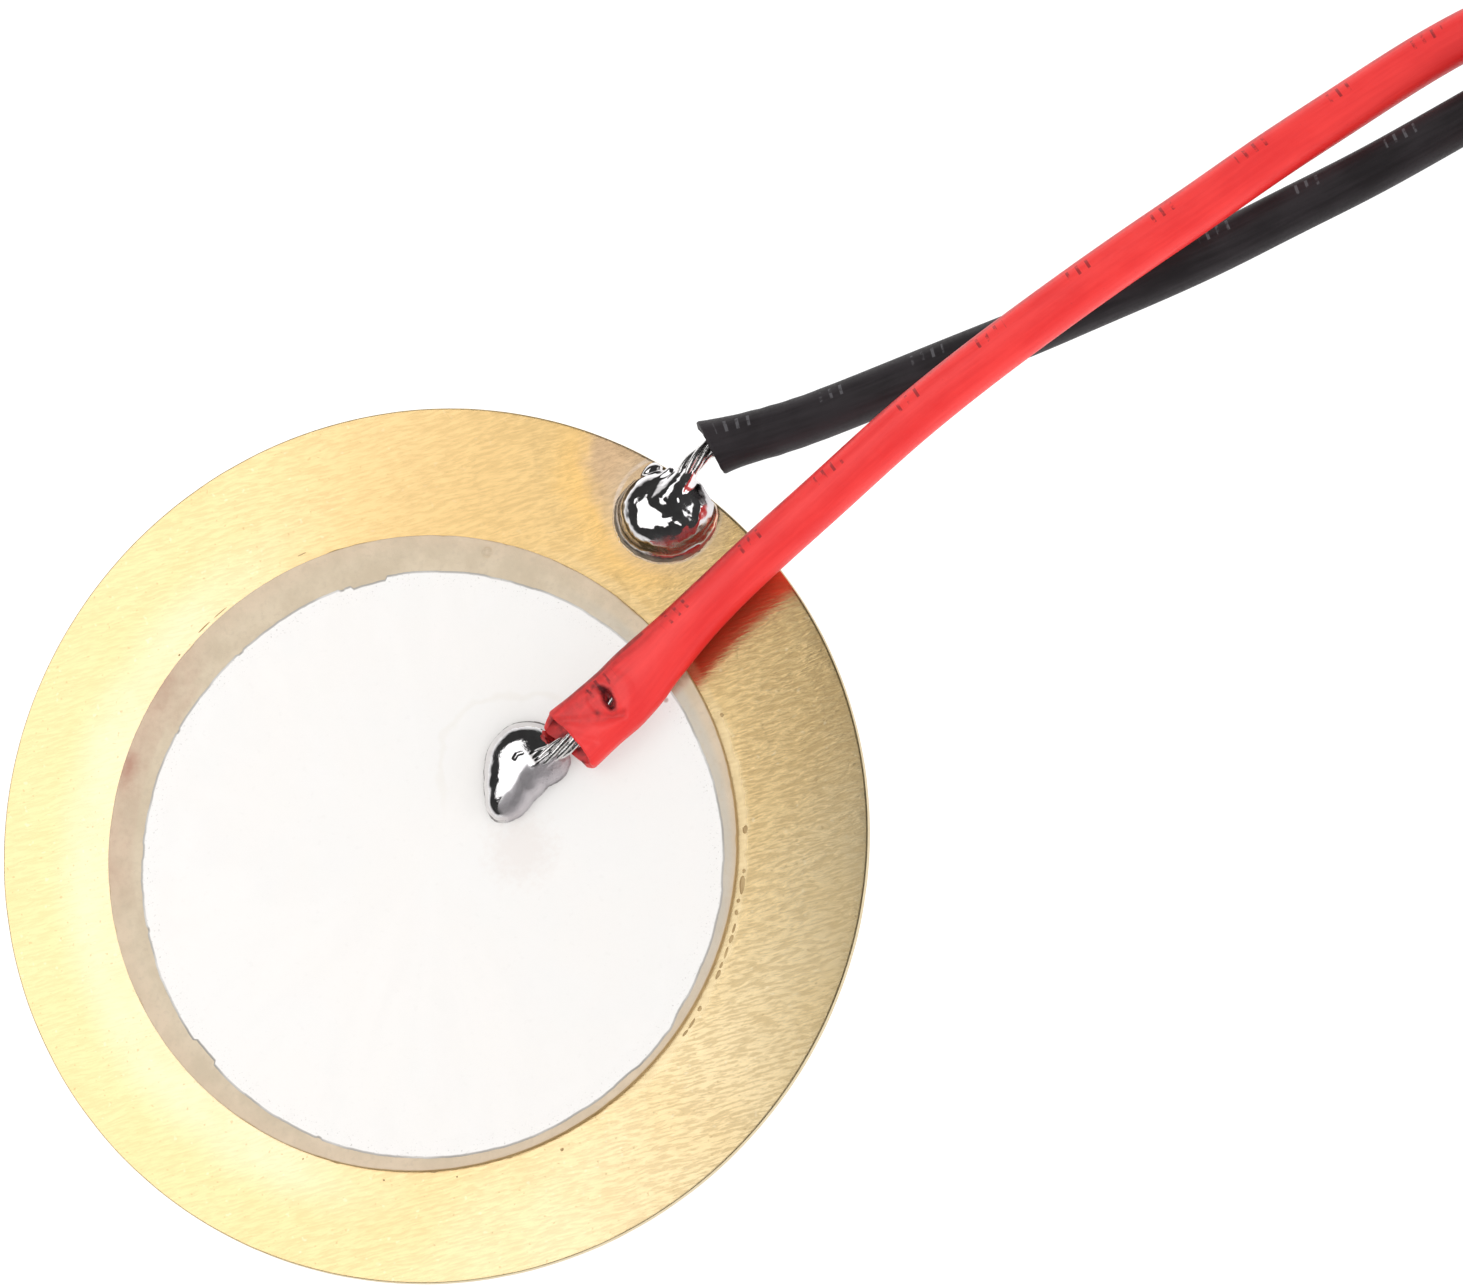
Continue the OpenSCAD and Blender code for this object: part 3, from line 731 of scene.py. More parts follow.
# the red end: flattened by the tool, cut back on top, scorched through behind the joint
CREASE_1 = [(5.33, 0.58), (5.89, 0.15), (6.44, -0.18), (7.11, -0.52)]
CREASE_2 = [(5.33, 0.58), (5.51, -0.15), (5.95, -0.65)]
RIDGE_1 = [(6.28, -0.55), (6.67, -0.64), (7.19, -0.72)]
RIDGE_2 = [(7.55, 0.75), (7.75, 0.1), (7.45, -0.45)]
FLAP = [(6.66, 0.80), (6.51, 0.40), (6.54, -0.03), (6.84, -0.33), (7.22, -0.45)]
SCORCH = (7.03, 0.17)


def red_shape(s):
    x = [0, 0.5, 1.0, 2.0, 2.7, 3.6, 4.3, 5.2, 6.5, 200]
    a = np.interp(s, x, [1.13, 1.09, 1.06, 1.08, 1.05, 0.95, 0.88, 0.81, 0.76, 0.75])
    b = np.interp(s, x, [0.50, 0.52, 0.55, 0.56, 0.60, 0.66, 0.70, 0.735, 0.75, 0.75])
    shift = -np.interp(s, x, [0.0, 0.0, 0.0, 0.0, 0.08, 0.13, 0.11, 0.05, 0.0, 0.0])
    k = np.exp(-((s[:, None] - s[None, :]) / 0.35) ** 2) if len(s) < 900 else None
    if k is not None:
        a, b, shift = [(k @ v) / k.sum(1) for v in (a, b, shift)]
    return a, b, shift


def red_relief(P, s, ang, inner, scorch_and_shade):
    x, y = P[:, 0], P[:, 1]
    top = sstep(0.05, 0.6, np.sin(ang)) * (s < 6)
    flat = P * [1, 1, 0]
    d1, d2, d3 = near_line(x, y, CREASE_1), near_line(x, y, CREASE_2), near_line(x, y, FLAP)
    r1, r2 = near_line(x, y, RIDGE_1), near_line(x, y, RIDGE_2)
    # the scorched slit lies across the lead
    dx, dy = x - SCORCH[0], y - SCORCH[1]
    u, v = dx * 0.22 - dy * 0.975, dx * 0.975 + dy * 0.22
    q = np.hypot(u / 0.44, (v + 0.10 * np.sin(4 * u)) / 0.19)
    q = q * (1 + 0.35 * fbm(flat, 3.2, 3, 5))
    z = (-0.09 * np.exp(-(d1 / 0.12) ** 2) - 0.05 * np.exp(-(d2 / 0.11) ** 2) - 0.035 * np.exp(-(d3 / 0.07) ** 2)
         + 0.05 * np.exp(-(r1 / 0.16) ** 2) + 0.05 * np.exp(-(r2 / 0.22) ** 2)
         - 0.34 * (1 - sstep(0.35, 1.0, q)) + 0.03 * np.exp(-((q - 1.3) / 0.3) ** 2))
    z += 0.024 * fbm(P, 1.6, 3, 4) * (1 - sstep(3.5, 6, s))
    P = P.copy()
    P[:, 2] += z * top
    wob = 0.03 * fbm(P, 1.1, 2, 9) * (1 - sstep(3.0, 5.5, s)) * (1 - inner)
    P[:, 1] += wob
    near = top * (s < 4)
    scorch_and_shade = np.maximum(scorch_and_shade, (1 - sstep(0.75, 1.45, q)) * near)
    smear = np.zeros(len(x))
    for cx, cy, r in ((6.88, 0.74, 0.14), (6.96, 0.60, 0.13), (6.52, 0.0, 0.10), (6.62, 0.74, 0.08)):
        smear = np.maximum(smear, np.exp(-((x - cx) ** 2 + (y - cy) ** 2) / (r * r)))
    scorch_and_shade = np.maximum(scorch_and_shade, 0.80 * smear * near)
    scorch_and_shade = np.maximum(scorch_and_shade, 0.26 * sstep(-0.3, 0.35, fbm(flat, 1.8, 3, 6)) * np.exp(-(np.hypot(x - 6.78, y - 0.25) / 0.45) ** 4) * near)
    # painted shade in the flap's outline and along the main crease
    scorch_and_shade = np.maximum(scorch_and_shade, 0.28 * np.exp(-(d3 / 0.06) ** 2) * near)
    scorch_and_shade = np.maximum(scorch_and_shade, 0.26 * np.exp(-(d1 / 0.08) ** 2) * top)
    # painted shade inside the bore near the end
    scorch_and_shade = np.maximum(scorch_and_shade, (0.42 + 0.5 * sstep(-0.15, 0.25, fbm(P, 2.4, 2, 12))) * inner * (s < 3))
    # painted shade: a thin dark line down the far side and round the cut
    side = sstep(math.pi - 0.78, math.pi - 0.58, ang) * (1 - sstep(math.pi + 0.2, math.pi + 0.4, ang)) * (1 - inner)
    scorch_and_shade = np.maximum(scorch_and_shade, side * (0.75 - 0.40 * sstep(4, 12, s)) * sstep(-0.6, 0.1, line_noise(s, 2.0, 14)))
    # painted shade: the same side is painted darker over a broad band near the end, in streaks
    out = (1 - sstep(math.pi + 0.2, math.pi + 0.4, ang)) * (1 - inner)
    streaky = 0.8 + 0.45 * vnoise(np.stack([0.8 * s, 9.0 * ang, 0 * s], 1), 1.0, 15)
    scorch_and_shade = np.maximum(scorch_and_shade, 0.40 * sstep(math.pi - 1.30, math.pi - 0.70, ang) * out * (1 - sstep(6, 12, s)) * streaky)
    scorch_and_shade = np.maximum(scorch_and_shade, 0.34 * sstep(math.pi - 1.85, math.pi - 1.25, ang) * out * (1 - sstep(1.9, 3.4, s)) * streaky)
    return P, np.clip(scorch_and_shade, 0, 1)


def red_lip(a):
    bottom = sstep(0.15, -0.75, np.sin(a))
    n = ring_noise(a, 1.0, 1.6, 31, 3)
    return 0.40 * bottom * (1 - 0.75 * np.maximum(0, np.cos(a))) + 0.16 * bottom * np.maximum(0, -np.cos(a)) + 0.07 * n + 0.05 * np.cos(a * 2 + 0.6)


def black_shape(s):
    a = 0.75 + 0.12 * np.exp(-(s / 0.55)) + 0.035 * np.exp(-(s / 2.5) ** 2)
    b = 0.75 + 0.03 * np.exp(-(s / 0.5))
    return a, b, 0 * s


def black_relief(P, s, ang, inner, scorch_and_shade):
    fade = (1 - sstep(2.2, 5.0, s))
    P = P.copy()
    wrinkle = 0.005 * np.sin(7.0 * s + 2.2 * np.sin(ang + 0.7) + 3 * line_noise(s, 0.8, 24)) * fade + 0.020 * fbm(P, 1.3, 3, 23) * fade
    t, side, up = BLACK_LINE.axes(s)
    out = np.cos(ang)[:, None] * side + np.sin(ang)[:, None] * up
    P += (wrinkle * (1 - inner))[:, None] * out
    return P, scorch_and_shade


def black_lip(a):
    return 0.05 * ring_noise(a, 1.0, 1.7, 77, 3) - 0.18 * np.cos(a) + 0.05 * np.maximum(0, np.cos(a - math.pi)) ** 6


red_wire = wire("red_wire", RED_LINE, "red_pvc", RED, red_shape, red_relief, red_lip, 2.9, fine=6.5, square=0.9)
black_wire = wire("black_wire", BLACK_LINE, "black_pvc", BLACK, black_shape, black_relief, black_lip, 1.6, fine=5.5)
red_wire.visible_diffuse = False
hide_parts("red_lead", "red_lead_coil")
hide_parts("black_lead", "black_lead_coil")


def strands(name, points, twist, phase, splay, bulge=0.0):
    """Seven fine wires, one straight and six twisted round it, along a smooth line."""
    core = Line(points, dense=0.01)
    s = np.linspace(0, core.length, int(core.length / 0.05))
    t, side, up = core.axes(s)
    pile, cols = Pile(), 12
    for k in range(7):
        r = 0.0 if k == 0 else 0.2
        phi = phase + k * math.pi / 3 + s / twist * 2 * math.pi
        wob = 0.03 * line_noise(s + 10 * k, 1.3, 40 + k)
        rr = r * (1 + splay * line_noise(s + 3 * k, 0.9, 60 + k)) + wob
        c = core.at(s) + (rr * np.cos(phi))[:, None] * side + (rr * np.sin(phi))[:, None] * up
        d = np.gradient(c, axis=0)
        d /= np.linalg.norm(d, axis=1)[:, None]
        e1 = np.cross(d, np.array([0.1, 0.2, 1.0]))
        e1 /= np.linalg.norm(e1, axis=1)[:, None]
        e2 = np.cross(e1, d)
        ang = np.arange(cols) / cols * 2 * math.pi
        rad = 0.1 * (1 + 0.08 * line_noise(s + 5 * k, 4.0, 90 + k)) + bulge * np.maximum(0, line_noise(s + 7 * k, 2.2, 120 + k))
        V = c[:, None, :] + rad[:, None, None] * (np.cos(ang)[None, :, None] * e1[:, None, :] + np.sin(ang)[None, :, None] * e2[:, None, :])
        V = V.reshape(-1, 3)
        n = len(V)
        V = np.concatenate([V, c[:1] - 0.04 * d[:1], c[-1:] + 0.04 * d[-1:]])
        q = ring_quads(len(s), cols)[:, ::-1]
        pile.add(V, q, np.concatenate([fan(n, 0, cols), fan(n + 1, (len(s) - 1) * cols, cols, flip=True)]))
    return pile


black_strands = strands("black_strands", [(12.35, 4.52, 1.0), (12.95, 4.72, 1.12), (13.5, 4.82, 1.13), (13.95, 4.87, 1.06), (14.6, 4.66, 0.99), (15.4, 4.36, 0.92)],
                        4.2, 0.3, 0.25, 0.02).build("black_strands", materials=[TINNED], slot="tinned_wire", sharp=60)
red_strands = strands("red_strands", [(3.9, 0.10, 0.95), (4.6, -0.03, 1.11), (5.25, -0.10, 1.20), (6.0, -0.05, 1.29), (7.0, 0.08, 1.36), (7.9, 0.13, 1.375)],
                      4.2, 1.1, 0.25, 0.02).build("red_strands", materials=[TINNED], slot="tinned_wire", sharp=60)
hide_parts("black_conductor")
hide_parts("red_conductor")


def tinned(name, r, end, node):
    """The stripped, twisted and tinned end of a lead."""
    a = math.radians(end)
    p0 = np.array([COIL_X + r * math.sin(a), COIL_Y + r * math.cos(a), Z2])
    d = np.array([math.cos(a), -math.sin(a), 0.0])
    side = np.cross(d, [0, 0, 1.0])
    s = np.linspace(-0.85, 4.0, 98)
    cols = 48
    ang = np.arange(cols) / cols * 2 * math.pi
    S, A = np.meshgrid(s, ang, indexing="ij")
    base = 0.272 + 0.026 * np.abs(np.cos(3 * (A - S / 3.2 * 2 * math.pi)))
    base += 0.010 * fbm(np.stack([S.ravel() * 1.5, np.cos(A.ravel()), np.sin(A.ravel())], 1), 1.4, 2, 8).reshape(S.shape)
    base = np.minimum(base, 0.30)
    base *= np.sqrt(np.clip(1 - ((S - 3.72) / 0.28).clip(0, 1) ** 2, 0.02, 1))
    V = p0 + S[..., None] * d + (base * np.cos(A))[..., None] * side + (base * np.sin(A))[..., None] * np.array([0, 0, 1.0])
    V = V.reshape(-1, 3)
    n = len(V)
    V = np.concatenate([V, [p0 + s[0] * d, p0 + 4.0 * d]])
    o = make(name, V, ring_quads(len(s), cols)[:, ::-1], np.concatenate([fan(n, 0, cols), fan(n + 1, (len(s) - 1) * cols, cols, flip=True)]),
             [TINNED], sharp=60, slot="tinned_wire")
    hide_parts(node)
    return o


red_tip = tinned("red_tinned_tip", RED_COIL_R, RED_END, "red_tinned_end")
black_tip = tinned("black_tinned_tip", BLACK_COIL_R, BLACK_END, "black_tinned_end")


def twist_tie():
    """A flat paper-covered wire round the turns, its ends twisted together and fanned out."""
    at = math.radians(90 - 8)
    ex = np.array([math.cos(at), math.sin(at), 0.0])
    ey = np.array([-math.sin(at), math.cos(at), 0.0])
    c = np.array([COIL_X, COIL_Y, 0.0])
    pile = Pile()

    def place(r, w, z):
        return c + np.asarray(r)[..., None] * ex + np.asarray(w)[..., None] * ey + np.asarray(z)[..., None] * np.array([0, 0, 1.0])

    # section of the strip: half width 0.72, with a round wire down the middle
    u = np.linspace(-1, 1, 21)
    top = np.stack([0.72 * u, 0.045 + 0.06 * np.exp(-(u / 0.22) ** 2) - 0.02 * np.abs(u) ** 8], 1)
    sec = np.concatenate([top, (top * [1, -1])[::-1]])
    # loop: a rounded rectangle in (r, z)
    r0, r1, z0, z1, cr = 5.93, 9.16, 0.115, 3.12, 0.72
    pts = []
    for (cx, cz, a0) in ((r1 - cr, z0 + cr, -90), (r1 - cr, z1 - cr, 0), (r0 + cr, z1 - cr, 90), (r0 + cr, z0 + cr, 180)):
        for k in np.linspace(0, 90, 10):
            a = math.radians(a0 + k)
            pts.append((cx + cr * math.cos(a), cz + cr * math.sin(a), math.cos(a), math.sin(a)))
    dense = []
    for i in range(len(pts)):
        p, q = np.array(pts[i]), np.array(pts[(i + 1) % len(pts)])
        steps = max(1, int(np.hypot(*(q - p)[:2]) / 0.12))
        for k in range(steps):
            dense.append(p + (q - p) * k / steps)
    dense = np.array(dense)
    n = len(dense)
    sag = 0.03 * line_noise(np.arange(n) * 0.11, 1.0, 5)
    V = []
    for (r, z, nx, nz), g in zip(dense, sag):
        ln = math.hypot(nx, nz)
        nx, nz = nx / ln, nz / ln
        V.append(place(r + nx * (sec[:, 1] + g), sec[:, 0], z + nz * (sec[:, 1] + g * 0.3)))
    V = np.concatenate(V)
    V[:, 2] = np.maximum(V[:, 2], 0.006)
    m = len(sec)
    q = ring_quads(n, m)
    last = np.stack([(n - 1) * m + np.arange(m), (n - 1) * m + (np.arange(m) + 1) % m, (np.arange(m) + 1) % m, np.arange(m)], 1)
    pile.add(V, np.concatenate([q, last]))
    # two ends twisted round each other, then lying flat
    for sgn in (0, 1):
        s = np.linspace(0, 1, 90)
        x = 9.15 + 4.6 * s
        turn = sstep(0.0, 0.08, s) * 0 + np.clip(s / 0.55, 0, 1) * 3 * math.pi + sgn * math.pi
        off = 0.17 * (1 - sstep(0.52, 0.7, s))
        fan_out = (0.7 * sstep(0.5, 1.0, s) ** 1.2 * 1.7) * (1 if sgn else -1)
        cy = off * np.cos(turn) + fan_out
        cz = 0.45 - 0.26 * sstep(0.45, 0.75, s) + off * np.sin(turn)
        C = place(x, cy, cz)
        d = np.gradient(C, axis=0)
        d /= np.linalg.norm(d, axis=1)[:, None]
        flat_up = np.cos(turn)[:, None] * np.array([0, 0, 1.0]) - np.sin(turn)[:, None] * ey
        settle_w = sstep(0.5, 0.72, s)[:, None]
        upv = flat_up * (1 - settle_w) + np.array([0, 0, 1.0]) * settle_w
        upv -= (upv * d).sum(1)[:, None] * d
        upv /= np.linalg.norm(upv, axis=1)[:, None]
        sd = np.cross(d, upv)
        half = 0.26 + 0.10 * settle_w[:, 0]
        u = np.linspace(-1, 1, 9)
        top = np.stack([u, 0.040 + 0.055 * np.exp(-(u / 0.35) ** 2) - 0.015 * np.abs(u) ** 8], 1)
        sc = np.concatenate([top, (top * [1, -1])[::-1]])
        V = C[:, None, :] + (sc[None, :, 0] * half[:, None])[..., None] * sd[:, None, :] + sc[None, :, 1, None] * upv[:, None, :]
        V = V.reshape(-1, 3)
        V[:, 2] = np.maximum(V[:, 2], 0.006)
        m = len(sc)
        nn = len(V)
        V = np.concatenate([V, C[:1], C[-1:]])
        pile.add(V, ring_quads(len(s), m), np.concatenate([fan(nn, 0, m, flip=True), fan(nn + 1, (len(s) - 1) * m, m)]))
    o = pile.build("twist_tie", materials=[TIE], slot="tie", sharp=50)
    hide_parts("coil_tie")
    return o


tie = twist_tie()


def path_of(line):
    s = np.linspace(0, line.length, 480)
    return [tuple(map(float, p * MM)) for p in line.at(s)]


path_of(BLACK_LINE)
path_of(RED_LINE)

# ------------------------------------------------------------------ plate, glue, ceramic, film


def plate():
    cols = 480
    ang = np.arange(cols) / cols * 2 * math.pi
    R = PLATE_R
    prof = [(0.4, 0.0), (4, 0.0), (8, 0.0), (11, 0.0), (12.6, 0.0), (R - 0.10, 0.0), (R - 0.055, 0.004), (R - 0.02, 0.018),
            (R - 0.004, 0.045), (R, 0.08), (R, 0.16), (R, 0.22), (R - 0.002, 0.262), (R - 0.009, 0.284), (R - 0.022, 0.2955),
            (R - 0.042, 0.2994), (R - 0.09, 0.30), (R - 0.4, 0.30), (12.4, 0.30), (11.6, 0.30), (10.8, 0.30), (10.0, 0.30),
            (9.0, 0.30), (6, 0.30), (2, 0.30), (0.4, 0.30)]
    prof = np.array(prof)
    prof[:, 1] *= PLATE_TOP / 0.30
    r = np.repeat(prof[:, 0][:, None], cols, 1)
    z = np.repeat(prof[:, 1][:, None], cols, 1)
    a = np.repeat(ang[None, :], len(prof), 0)
    edge = np.exp(-((r - R) / 0.12) ** 2)
    r = r + edge * 0.007 * ring_noise(a.ravel(), R, 1.2, 3, 3).reshape(a.shape)
    V = np.stack([PLATE_C[0] + r * np.cos(a), PLATE_C[1] + r * np.sin(a), z], -1).reshape(-1, 3)
    n = len(V)
    V = np.concatenate([V, [[PLATE_C[0], PLATE_C[1], 0], [PLATE_C[0], PLATE_C[1], PLATE_TOP]]])
    o = make("plate_body", V, ring_quads(len(prof), cols),
             np.concatenate([fan(n, 0, cols, flip=True), fan(n + 1, (len(prof) - 1) * cols, cols)]), [BRASS], sharp=40, slot="brass")
    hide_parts("brass_plate")


def bump_at(theta, deg, width, height):
    d = (np.degrees(theta) - deg + 180) % 360 - 180
    return height * np.exp(-(d / width) ** 2)


def glue():
    cols = 1080
    a = np.arange(cols) / cols * 2 * math.pi
    w = 0.004 + 0.010 * ring_noise(a, CER_R, 0.9, 11, 3)
    # where the adhesive squeezed out further
    for deg, width, height in ((63, 2.2, 0.03), (68, 3.0, 0.05), (72.5, 2.0, 0.06), (94, 1.5, 0.03), (97, 2.0, 0.05), (101, 1.8, 0.04),
                               (-108, 0.8, 0.05), (-122, 0.7, 0.05), (-140, 0.9, 0.04)):
        w = w + bump_at(a, deg, width, height)
    w = np.maximum(w, 0.003)
    h = np.clip(0.05 + 0.5 * w + 0.01 * ring_noise(a, CER_R, 1.7, 12, 2), 0.035, 0.12)
    rows = []
    z0 = PLATE_TOP - 0.004
    rows.append((0 * a + CER_R - 0.5, 0 * a + z0))
    rows.append((0 * a + CER_R - 0.5, 0 * a + CER_LOW - 0.012))
    rows.append((0 * a + CER_R - 0.02, 0 * a + CER_LOW - 0.012))
    rows.append((0 * a + CER_R - 0.02, PLATE_TOP + h))
    for u in np.linspace(0, 1, 9):
        rows.append((CER_R - 0.012 + (w + 0.012) * u, PLATE_TOP + h * (1 - u) ** 1.5 * (1 + 0.45 * u) - 0.004 * u))
    r = np.stack([x[0] for x in rows])
    z = np.stack([x[1] for x in rows])
    A = np.repeat(a[None, :], len(rows), 0)
    V = np.stack([CER_C[0] + r * np.cos(A), CER_C[1] + r * np.sin(A), z], -1).reshape(-1, 3)
    n = len(rows)
    q = ring_quads(n, cols)
    last = np.stack([(n - 1) * cols + np.arange(cols), (n - 1) * cols + (np.arange(cols) + 1) % cols,
                     (np.arange(cols) + 1) % cols, np.arange(cols)], 1)
    o = make("glue_film", V, np.concatenate([q, last])[:, ::-1], None, [GLUE], sharp=50, slot="adhesive")
    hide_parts("bond_layer")
    # specks and short runs of adhesive beside the ceramic: middle angle, radius, length in degrees, width
    pile = Pile()
    runs = [(-11, 10.12, 0.5, 0.12), (-31.7, 10.04, 1.5, 0.15), (-39.0, 10.03, 0.9, 0.09), (-41.4, 10.02, 3.2, 0.17), (-44.3, 9.98, 0.8, 0.11),
            (-46.4, 9.99, 1.0, 0.11), (-49.2, 10.03, 1.7, 0.09), (-51.1, 10.04, 1.7, 0.11), (-53.6, 10.02, 2.2, 0.08),
            (-56.0, 10.01, 1.2, 0.09), (-57.7, 10.03, 2.0, 0.11), (-64.5, 9.99, 1.1, 0.11), (-67.4, 10.02, 2.0, 0.09), (-69.4, 10.01, 1.6, 0.08),
            (99.5, 9.965, 3.2, 0.045), (95.6, 9.955, 3.0, 0.04), (106, 9.955, 0.5, 0.05), (-118, 10.05, 0.35, 0.06), (-131, 10.1, 0.4, 0.07),
            (-99, 10.22, 0.5, 0.11), (-146, 10.02, 0.3, 0.06), (78, 10.12, 1.6, 0.045)]
    for i, (deg, rr, span, width) in enumerate(runs):
        long = max(math.radians(span) * rr / 2, width / 2)
        k, m = 5, 26
        v = []
        for r0 in range(k + 1):
            f = min(r0 / k, 0.999)
            for j in range(m):
                b = 2 * math.pi * j / m
                g = math.cos(f * math.pi / 2) * (1 + 0.10 * math.sin(2 * b + deg) + 0.05 * math.sin(3 * b + 2 * deg))
                t = math.radians(deg) + long * g * math.cos(b) / rr
                rad = rr + 0.5 * width * g * math.sin(b)
                v.append((CER_C[0] + rad * math.cos(t), CER_C[1] + rad * math.sin(t),
                          PLATE_TOP - 0.004 + 0.28 * width * math.sin(f * math.pi / 2)))
            if r0 == k:
                del v[-m:]
        t = math.radians(deg)
        cx, cy = CER_C[0] + rr * math.cos(t), CER_C[1] + rr * math.sin(t)
        v.append((cx, cy, PLATE_TOP - 0.004 + 0.28 * width))
        v.append((cx, cy, PLATE_TOP - 0.004))
        pile.add(np.array(v)[:, [0, 1, 2]], ring_quads(k, m)[:, ::-1], np.concatenate([fan(k * m, (k - 1) * m, m, flip=True), fan(k * m + 1, 0, m)]))
    pile.build("glue_specks", materials=[GLUE], slot="adhesive")


def ceramic():
    cols = 900
    a = np.arange(cols) / cols * 2 * math.pi
    chip = np.maximum(0, ring_noise(a, CER_R, 2.2, 21, 3) - 0.18) * 0.10
    chip += bump_at(a, -24, 0.5, 0.05) + bump_at(a, 158, 0.6, 0.05) + bump_at(a, 52, 0.4, 0.05)
    rough = 0.006 * ring_noise(a, CER_R, 6.0, 22, 2)
    edge = CER_R - 0.004 + rough
    rows = [(0 * a + 0.5, 0 * a + CER_LOW), (0 * a + 6.0, 0 * a + CER_LOW), (0 * a + CER_R - 0.3, 0 * a + CER_LOW),
            (edge - 0.02, 0 * a + CER_LOW), (edge - 0.004, 0 * a + CER_LOW + 0.012), (edge, 0 * a + CER_LOW + 0.05),
            (edge, 0 * a + CER_TOP - 0.06 - 0.3 * chip), (edge - 0.002 - 0.15 * chip, 0 * a + CER_TOP - 0.030 - 0.3 * chip),
            (edge - 0.012 - 0.5 * chip, 0 * a + CER_TOP - 0.011), (edge - 0.030 - chip, 0 * a + CER_TOP - 0.002)]
    for r in np.arange(CER_R - 0.07, 8.35, -0.035):
        k = np.clip((CER_R - 0.05 - r) / 0.1, 0, 1)
        rows.append((r - chip * (1 - k), 0 * a + CER_TOP))
    for r in (7.0, 4.0, 0.5):
        rows.append((0 * a + r, 0 * a + CER_TOP))
    r = np.stack([x[0] for x in rows])
    z = np.stack([x[1] for x in rows])
    A = np.repeat(a[None, :], len(rows), 0)
    V = np.stack([CER_C[0] + r * np.cos(A), CER_C[1] + r * np.sin(A), z], -1).reshape(-1, 3)
    topside = V[:, 2] > CER_TOP - 0.001
    rr = np.hypot(V[:, 0] - CER_C[0], V[:, 1] - CER_C[1])
    V[:, 2] += topside * (rr > 8.6) * 0.004 * fbm(V * [1, 1, 0], 2.6, 3, 25)
    # one small blister in the fired surface
    d = np.hypot(V[:, 0] - 6.41, V[:, 1] - 6.47)
    V[:, 2] += topside * (0.085 * np.clip(1 - (d / 0.11) ** 2, 0, 1) ** 0.7 - 0.012 * np.exp(-((d - 0.15) / 0.04) ** 2))
    th = np.degrees(np.arctan2(V[:, 1] - CER_C[1], V[:, 0] - CER_C[0]))

    def patch(t0, t1, r0, r1, soft=1.2):
        t = sstep(t0 - soft, t0 + soft, th) * (1 - sstep(t1 - soft, t1 + soft, th))
        return t * sstep(r0 - 0.1, r0 + 0.1, rr) * (1 - sstep(r1 - 0.02, r1 + 0.1, rr))

    outer = sstep(9.1, 9.75, rr)
    stain_and_lead_shadow = patch(125, 132.5, 9.1, 9.9, 2.2) * (0.25 + 0.75 * outer) + 0.75 * patch(109, 118, 8.7, 9.9, 3.0) * (0.45 + 0.55 * outer)
    stain_and_lead_shadow = np.maximum(stain_and_lead_shadow, 0.30 * patch(104, 152, 9.0, 9.9, 6.0))
    # painted shadow of the red lead where it crosses the ceramic: a brown strip along its edge, with its red bounce
    run = (V[:, 1] + 0.30) * 0.985 + (V[:, 0] - 9.1) * -0.17
    stain_and_lead_shadow = np.maximum(stain_and_lead_shadow, 0.95 * sstep(-0.42, -0.02, run) * (1 - sstep(0.25, 0.6, run)) * sstep(8.2, 8.5, V[:, 0]))
    lead_shadow = sstep(-0.30, 0.05, run) * (1 - sstep(0.25, 0.6, run)) * sstep(8.2, 8.5, V[:, 0])
    stain_and_lead_shadow *= 0.8 + 0.6 * fbm(V * [1, 1, 0], 1.6, 3, 27)
    n = len(V)
    V = np.concatenate([V, [[CER_C[0], CER_C[1], CER_LOW], [CER_C[0], CER_C[1], CER_TOP]]])
    stain_and_lead_shadow = np.concatenate([np.clip(stain_and_lead_shadow, 0, 1), [0, 0]])
    lead_shadow = np.concatenate([lead_shadow, [0, 0]])
    o = make("ceramic_body", V, ring_quads(len(rows), cols),
             np.concatenate([fan(n, 0, cols, flip=True), fan(n + 1, (len(rows) - 1) * cols, cols)]), [CERAMIC_M], sharp=40,
             attrs={"stain_and_lead_shadow": stain_and_lead_shadow, "lead_shadow": lead_shadow}, slot="ceramic")
    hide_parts("ceramic_disc")


